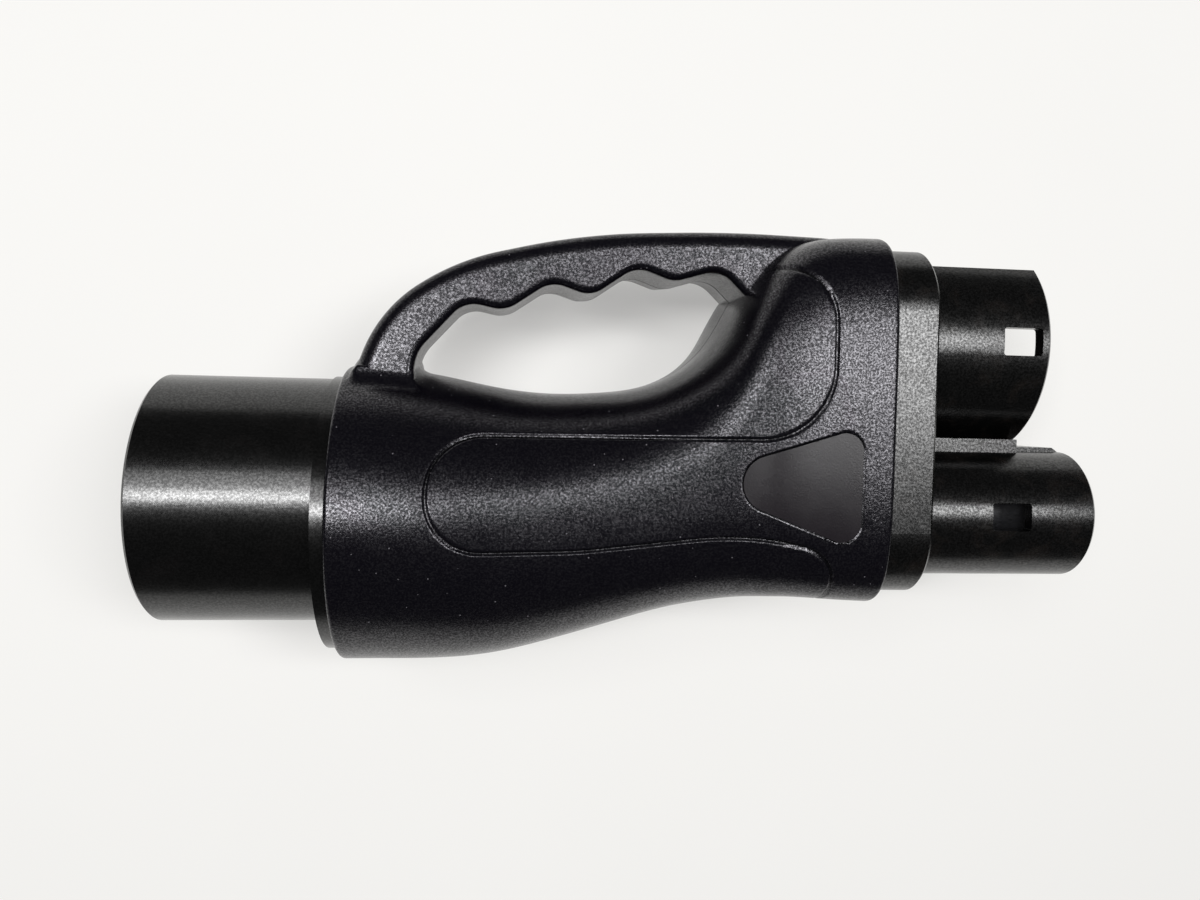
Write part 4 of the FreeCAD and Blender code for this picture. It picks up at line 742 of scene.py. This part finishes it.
def striped_lead():
    """PVC insulation in the earth's two colours, green beside yellow in stripes of 2 mm."""
    material, tree, shader, where = new_material("striped lead insulation", {"IOR": 1.54, "Roughness": 0.45})
    apart = add(tree, "SeparateXYZ", links={"Vector": where})
    stripe = add(tree, "Math", {"operation": "PINGPONG", 1: 2.0 * MM}, {0: apart.outputs["Z"]})
    sharp = add(tree, "MapRange", {"From Min": 0.9 * MM, "From Max": 1.1 * MM}, {"Value": stripe})
    colour = add(tree, "Mix", {"data_type": "RGBA", 6: linear("#d8c21f"), 7: linear("#2f7a35")}, {0: sharp})
    fine = add(tree, "TexNoise", {"Scale": per(0.6), "Detail": 2.0}, {"Vector": where})
    bump = add(tree, "Bump", {"Strength": 0.6, "Distance": 0.02 * MM}, {"Height": fine})
    feed(tree, shader, {"Base Color": colour.outputs[2], "Normal": bump})
    return material


def solder_mask():
    """Green solder mask on a glass-epoxy board: the copper tracks under it, about 1 mm wide, show paler."""
    material, tree, shader, where = new_material("green solder mask", {"IOR": 1.5, "Roughness": 0.3})
    tracks = add(tree, "TexBrick",
                 {"Scale": per(10.0), "Mortar Size": 0.05, "Mortar Smooth": 0.1, "Brick Width": 0.9,
                  "Row Height": 0.22, "Color1": linear("#0f4424"), "Color2": linear("#0d3c20"),
                  "Mortar": linear("#2c7d46")},
                 {"Vector": where})
    bump = add(tree, "Bump", {"Strength": 1.0, "Distance": 0.035 * MM}, {"Height": tracks.outputs["Fac"]})
    feed(tree, shader, {"Base Color": tracks, "Normal": bump})
    return material


def label_film(colour):
    """A bare plate under satin polycarbonate film, a purplish brown-black.

    The film's texture is about 0.1 mm, too fine to show, so it is drawn at 0.45 mm.
    """
    settings = {"IOR": 1.585, "Specular IOR Level": 0.22}
    material, tree, shader, where = new_material("satin polycarbonate film", settings)
    fine = add(tree, "TexNoise", {"Scale": per(0.45), "Detail": 2.0}, {"Vector": where})
    cloud = add(tree, "TexNoise", {"Scale": per(8.0), "Detail": 3.0}, {"Vector": where})
    polish = add(tree, "MapRange", {"From Min": 0.3, "From Max": 0.7, "To Min": 0.25, "To Max": 0.31},
                 {"Value": cloud})
    tint = add(tree, "Mix", {"data_type": "RGBA", 6: colour, 7: linear("#221e22")}, {0: fine})
    bump = add(tree, "Bump", {"Strength": 1.0, "Distance": 0.02 * MM}, {"Height": fine})
    feed(tree, shader, {"Base Color": tint.outputs[2], "Roughness": polish, "Normal": bump})
    return material


# Each finish of the smaller pieces: material name, shader settings, darker and paler shade, size of its
# unevenness in mm, how it is stretched, lowest and highest roughness, and relief in mm.
EVEN = (1.0, 1.0, 1.0)
TURNED = (1.0, 0.02, 0.02)
DRAWN = (0.04, 1.0, 1.0)
FINISHES = {
    # Moulded with glass fibre: matt, with pale ends of the fibres.
    "cores": ("glass-filled black nylon", {"IOR": 1.56}, ("#0c0c0e", "#222226"),
              0.6, EVEN, (0.42, 0.58), 0.03),
    # Pressed rubber: soft and dull, with a bloom of talc.
    "gaskets": ("pressed silicone rubber", {"IOR": 1.41}, ("#0b0b0b", "#262524"),
                2.0, EVEN, (0.62, 0.8), 0.03),
    # Turned and silver plated: fine rings from the tool, and a warm tarnish.
    "contacts": ("silver-plated copper", {"Metallic": 1.0}, ("#b7ab93", "#dcdad2"),
                 0.7, TURNED, (0.2, 0.34), 0.008),
    # Rolled bar, left bare: lines along the bar and a brown oxide.
    "busbars": ("rolled bare copper", {"Metallic": 1.0}, ("#8a5238", "#c98a68"),
                1.2, DRAWN, (0.24, 0.42), 0.012),
    # Cold formed and zinc plated: a cool, slightly cloudy shine.
    "screws": ("zinc-plated steel", {"Metallic": 1.0}, ("#8f949b", "#c3c7cc"),
               0.9, EVEN, (0.26, 0.42), 0.01),
    # Extruded over the strands: glossy, with lines along the wire.
    "wires": ("extruded wire insulation", {"IOR": 1.53}, ("#7d1512", "#a3201b"),
              1.5, DRAWN, (0.34, 0.46), 0.02),
    # Transfer moulded epoxy: matt grey-black with a fine grain.
    "chips": ("moulded black epoxy", {"IOR": 1.55}, ("#101012", "#232326"),
              0.4, EVEN, (0.5, 0.64), 0.015),
    # Unfilled nylon in its own milky colour.
    "connectors": ("natural nylon", {"IOR": 1.53}, ("#c6c0ad", "#dedacb"),
                   3.0, EVEN, (0.36, 0.48), 0.02),
    # A dipped bead: glossy dark resin that ran unevenly.
    "sensors": ("dipped sensor resin", {"IOR": 1.55}, ("#19191c", "#38383d"),
                1.0, EVEN, (0.18, 0.32), 0.04),
}


# Stage


def pale_floor(colour, half=3.0):
    """A plain pale table, 6 m square: white laminate, a little uneven in tone.

    The camera and gloss see it partly as its own paleness and partly as lit, which keeps the shadow soft.
    """
    material, tree, shader, where = new_material("white laminate", {"Roughness": 0.7, "IOR": 1.5})
    cloud = add(tree, "TexNoise", {"Scale": per(160.0), "Detail": 3.0}, {"Vector": where})
    tint = add(tree, "Mix", {"data_type": "RGBA", 6: colour, 7: linear("#ebeae7")}, {0: cloud})
    feed(tree, shader, {"Base Color": tint.outputs[2]})
    path = add(tree, "LightPath")
    mirror = add(tree, "Math", {"operation": "MAXIMUM"},
                 {0: path.outputs["Is Glossy Ray"], 1: path.outputs["Is Transmission Ray"]})
    seen = add(tree, "Math", {"operation": "MAXIMUM"}, {0: mirror, 1: path.outputs["Is Camera Ray"]})
    share = add(tree, "Math", {"operation": "MULTIPLY", 1: OWN_SHARE}, {0: seen})
    glow = add(tree, "Emission", {"Color": linear("#fefdfb"), "Strength": 1.0})
    both = add(tree, "MixShader", links={0: share, 1: shader, 2: glow})
    feed(tree, tree.nodes["Material Output"], {"Surface": both})
    mesh = bpy.data.meshes.new("floor")
    corners = [(-half, -half, 0), (half, -half, 0), (half, half, 0), (-half, half, 0)]
    mesh.from_pydata(corners, [], [(0, 1, 2, 3)])
    mesh.materials.append(material)
    floor = bpy.data.objects.new("floor", mesh)
    bpy.context.scene.collection.objects.link(floor)


def studio_world():
    """A dim room round the table, which the camera sees as nearly white and gloss as a dark grey."""
    world = bpy.data.worlds.new("studio")
    bpy.context.scene.world = world
    world.use_nodes = True
    tree = world.node_tree
    path = add(tree, "LightPath")
    seen = add(tree, "Math", {"operation": "MULTIPLY_ADD", 1: ROOM_SEEN, 2: ROOM},
               {0: path.outputs["Is Camera Ray"]})
    mirror = add(tree, "Math", {"operation": "MAXIMUM"},
                 {0: path.outputs["Is Glossy Ray"], 1: path.outputs["Is Transmission Ray"]})
    level = add(tree, "Math", {"operation": "MULTIPLY_ADD", 1: ROOM}, {0: mirror, 2: seen})
    background = tree.nodes["Background"]
    background.inputs["Color"].default_value = linear("#ffffff")
    feed(tree, background, {"Strength": level})


# Steps and panel


def housing_material(scene):
    """The housing's finish, which either step makes where it isn't there yet."""
    return bpy.data.materials.get("grained black ABS") or grained_abs(scene.adapter_finishes)


class ADAPTER_OT_body(bpy.types.Operator):
    """Builds both half shells of the body with its groove, label field, ends and screw tunnels"""

    bl_idname = "adapter.body"
    bl_label = "Moulded body"

    def execute(self, context):
        sizes = context.scene.adapter_housing
        material = housing_material(context.scene)
        plain = body_grid(sizes.rim / MM)
        normals = outward(plain)
        end, wall = end_grids(plain[-1])
        around = [(ring_to(plain[0], TUBE_RADIUS, LEFT), False), (end, True), (wall, True)]
        groove = nearest_on(rounded_line(GROOVE, LINE_STEP), plain.reshape(-1, 3)[:, :2] - [LEFT, 0])[0]
        groove[plain[..., 2].ravel() < GROOVE_LOWEST] = FAR_AWAY
        bottom = GROOVE_FLAT * sizes.groove_half / MM
        slope = (groove - bottom) / (sizes.groove_half / MM - bottom)
        dip = (sizes.groove_depth / MM * (1 - np.clip(slope, 0, 1))).reshape(plain.shape[:2])
        rise = foot_rise(plain, sizes.foot_round / MM)
        field = rounded_line(FIELD, LINE_STEP, closed=True)
        near, edge = draw_beside(plain, field, FIELD_SNAP)
        sunk = inside(field, near.reshape(-1, 3)[:, :2] - [LEFT, 0])
        drop = np.where(sunk, sizes.field_depth / MM * np.clip(edge / FIELD_WALL, 0, 1), 0)
        drop = drop.reshape(plain.shape[:2])
        near = near + normals * (rise - np.maximum(dip, drop))[..., None]
        marks = {"groove": groove, "field": edge}
        moulded("near_shell", "housing_near", 1, [(near, True)] + around, marks, material, sizes, [])
        far = plain + normals * (rise - dip)[..., None]
        marks = {"groove": groove, "field": np.full(len(groove), FAR_AWAY)}
        moulded("far_shell", "housing_far", -1, [(far, True)] + around, marks, material, sizes, BODY_SCREWS)
        return {"FINISHED"}


class ADAPTER_OT_grip(bpy.types.Operator):
    """Builds both halves of the handle with its finger scallops"""

    bl_idname = "adapter.grip"
    bl_label = "Handle"

    def execute(self, context):
        sizes = context.scene.adapter_housing
        material = housing_material(context.scene)
        for name, node, side, taper, screws in (
            ("near_handle", "housing_near", 1, 0.0, []),
            ("far_handle", "housing_far", -1, sizes.far_taper / MM, GRIP_SCREWS),
        ):
            grid = grip_grid(taper)
            marks = {mark: np.full(grid.shape[0] * grid.shape[1], FAR_AWAY) for mark in ("groove", "field")}
            moulded(name, node, side, [(grid, False)], marks, material, sizes, screws)
        return {"FINISHED"}


class ADAPTER_OT_finishes(bpy.types.Operator):
    """Gives every piece of the frame its finish"""

    bl_idname = "adapter.finishes"
    bl_label = "Finishes"

    def execute(self, context):
        colours = context.scene.adapter_finishes
        shell = tuple(colours.fittings)
        made = {slot: patterned(*finish) for slot, finish in FINISHES.items()}
        made["contacts"].node_tree.nodes["Color Ramp"].color_ramp.elements[1].color = tuple(colours.metal)
        made["housing"] = grained_abs(colours)
        made["leads"] = striped_lead()
        made["board"] = solder_mask()
        made["label"] = label_film(tuple(colours.label))
        tube = moulded_nylon("satin black nylon, tube", shell, "#0c0a0a", (0.2, 0.24), 14.0, 0.2)
        plug = moulded_nylon("satin black nylon, plug", shell, "#1c1714", (0.22, 0.28), 9.0, 0.3)
        own = {"inlet_shell": tube, "plug_body": plug}
        for part in frame["record"]["subparts"]:
            thing = frame["nodes"][part["node"]]
            material = own.get(part["node"]) or made[part["material_slot"]]
            thing.data.materials.clear()
            thing.data.materials.append(material)
        return {"FINISHED"}


class ADAPTER_OT_stage(bpy.types.Operator):
    """Adds the pale floor, the soft light and the camera at the photograph's angle"""

    bl_idname = "adapter.stage"
    bl_label = "Stage"

    def execute(self, context):
        scene = context.scene
        light = scene.adapter_stage
        pale_floor(tuple(scene.adapter_finishes.floor))
        studio_world()
        for name, x, y, size_x, size_y, setting, factor in LAMPS:
            lamp = bpy.data.lights.new(name, "AREA")
            lamp.shape = "RECTANGLE"
            lamp.size = size_x
            lamp.size_y = size_y
            lamp.energy = factor * getattr(light, setting) * math.pi * size_x * size_y
            thing = bpy.data.objects.new(name, lamp)
            thing.location = (x, y, light.lamp_height)
            scene.collection.objects.link(thing)
        lens = bpy.data.cameras.new("camera")
        lens.sensor_width = 36.0
        lens.lens = CAMERA_LENS
        lens.clip_start = 0.01
        camera = bpy.data.objects.new("camera", lens)
        (cos_y, cos_x, cos_z), (sin_y, sin_x, sin_z) = np.cos(CAMERA_TURNS), np.sin(CAMERA_TURNS)
        around_y = np.array([[cos_y, 0, sin_y], [0, 1, 0], [-sin_y, 0, cos_y]])
        around_x = np.array([[1, 0, 0], [0, cos_x, -sin_x], [0, sin_x, cos_x]])
        around_z = np.array([[cos_z, sin_z, 0], [-sin_z, cos_z, 0], [0, 0, 1]])
        turn = (around_z @ around_x @ around_y).T
        spot = place(np.array(CAMERA_SPOT))
        camera.matrix_world = Matrix.Translation(spot) @ Matrix(turn.tolist()).to_4x4()
        scene.collection.objects.link(camera)
        scene.camera = camera
        scene.view_settings.view_transform = "Standard"
        return {"FINISHED"}


class ADAPTER_PT_panel(bpy.types.Panel):
    """Lists the adapter's settings and the steps that build it"""

    bl_idname = "ADAPTER_PT_panel"
    bl_label = "Charging adapter"
    bl_space_type = "VIEW_3D"
    bl_region_type = "UI"
    bl_category = "Adapter"

    def draw(self, context):
        for group in SETTINGS:
            settings = getattr(context.scene, group)
            box = self.layout.box()
            for name in settings.__annotations__:
                box.prop(settings, name)
        for step in STEPS:
            self.layout.operator(step.bl_idname)


SETTINGS = {
    "adapter_housing": ADAPTER_PG_housing,
    "adapter_finishes": ADAPTER_PG_finishes,
    "adapter_stage": ADAPTER_PG_stage,
}
STEPS = (ADAPTER_OT_finishes, ADAPTER_OT_body, ADAPTER_OT_grip, ADAPTER_OT_stage)


def register():
    for kind in (*SETTINGS.values(), *STEPS, ADAPTER_PT_panel):
        bpy.utils.register_class(kind)
    for name, kind in SETTINGS.items():
        setattr(bpy.types.Scene, name, bpy.props.PointerProperty(type=kind))


def unregister():
    for name in SETTINGS:
        delattr(bpy.types.Scene, name)
    for kind in (ADAPTER_PT_panel, *reversed(STEPS), *SETTINGS.values()):
        bpy.utils.unregister_class(kind)


def main():
    """Builds the scene."""
    register()
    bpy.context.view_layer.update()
    bpy.ops.adapter.finishes()
    bpy.ops.adapter.body()
    bpy.ops.adapter.grip()
    bpy.ops.adapter.stage()


if __name__ == "__main__":
    main()
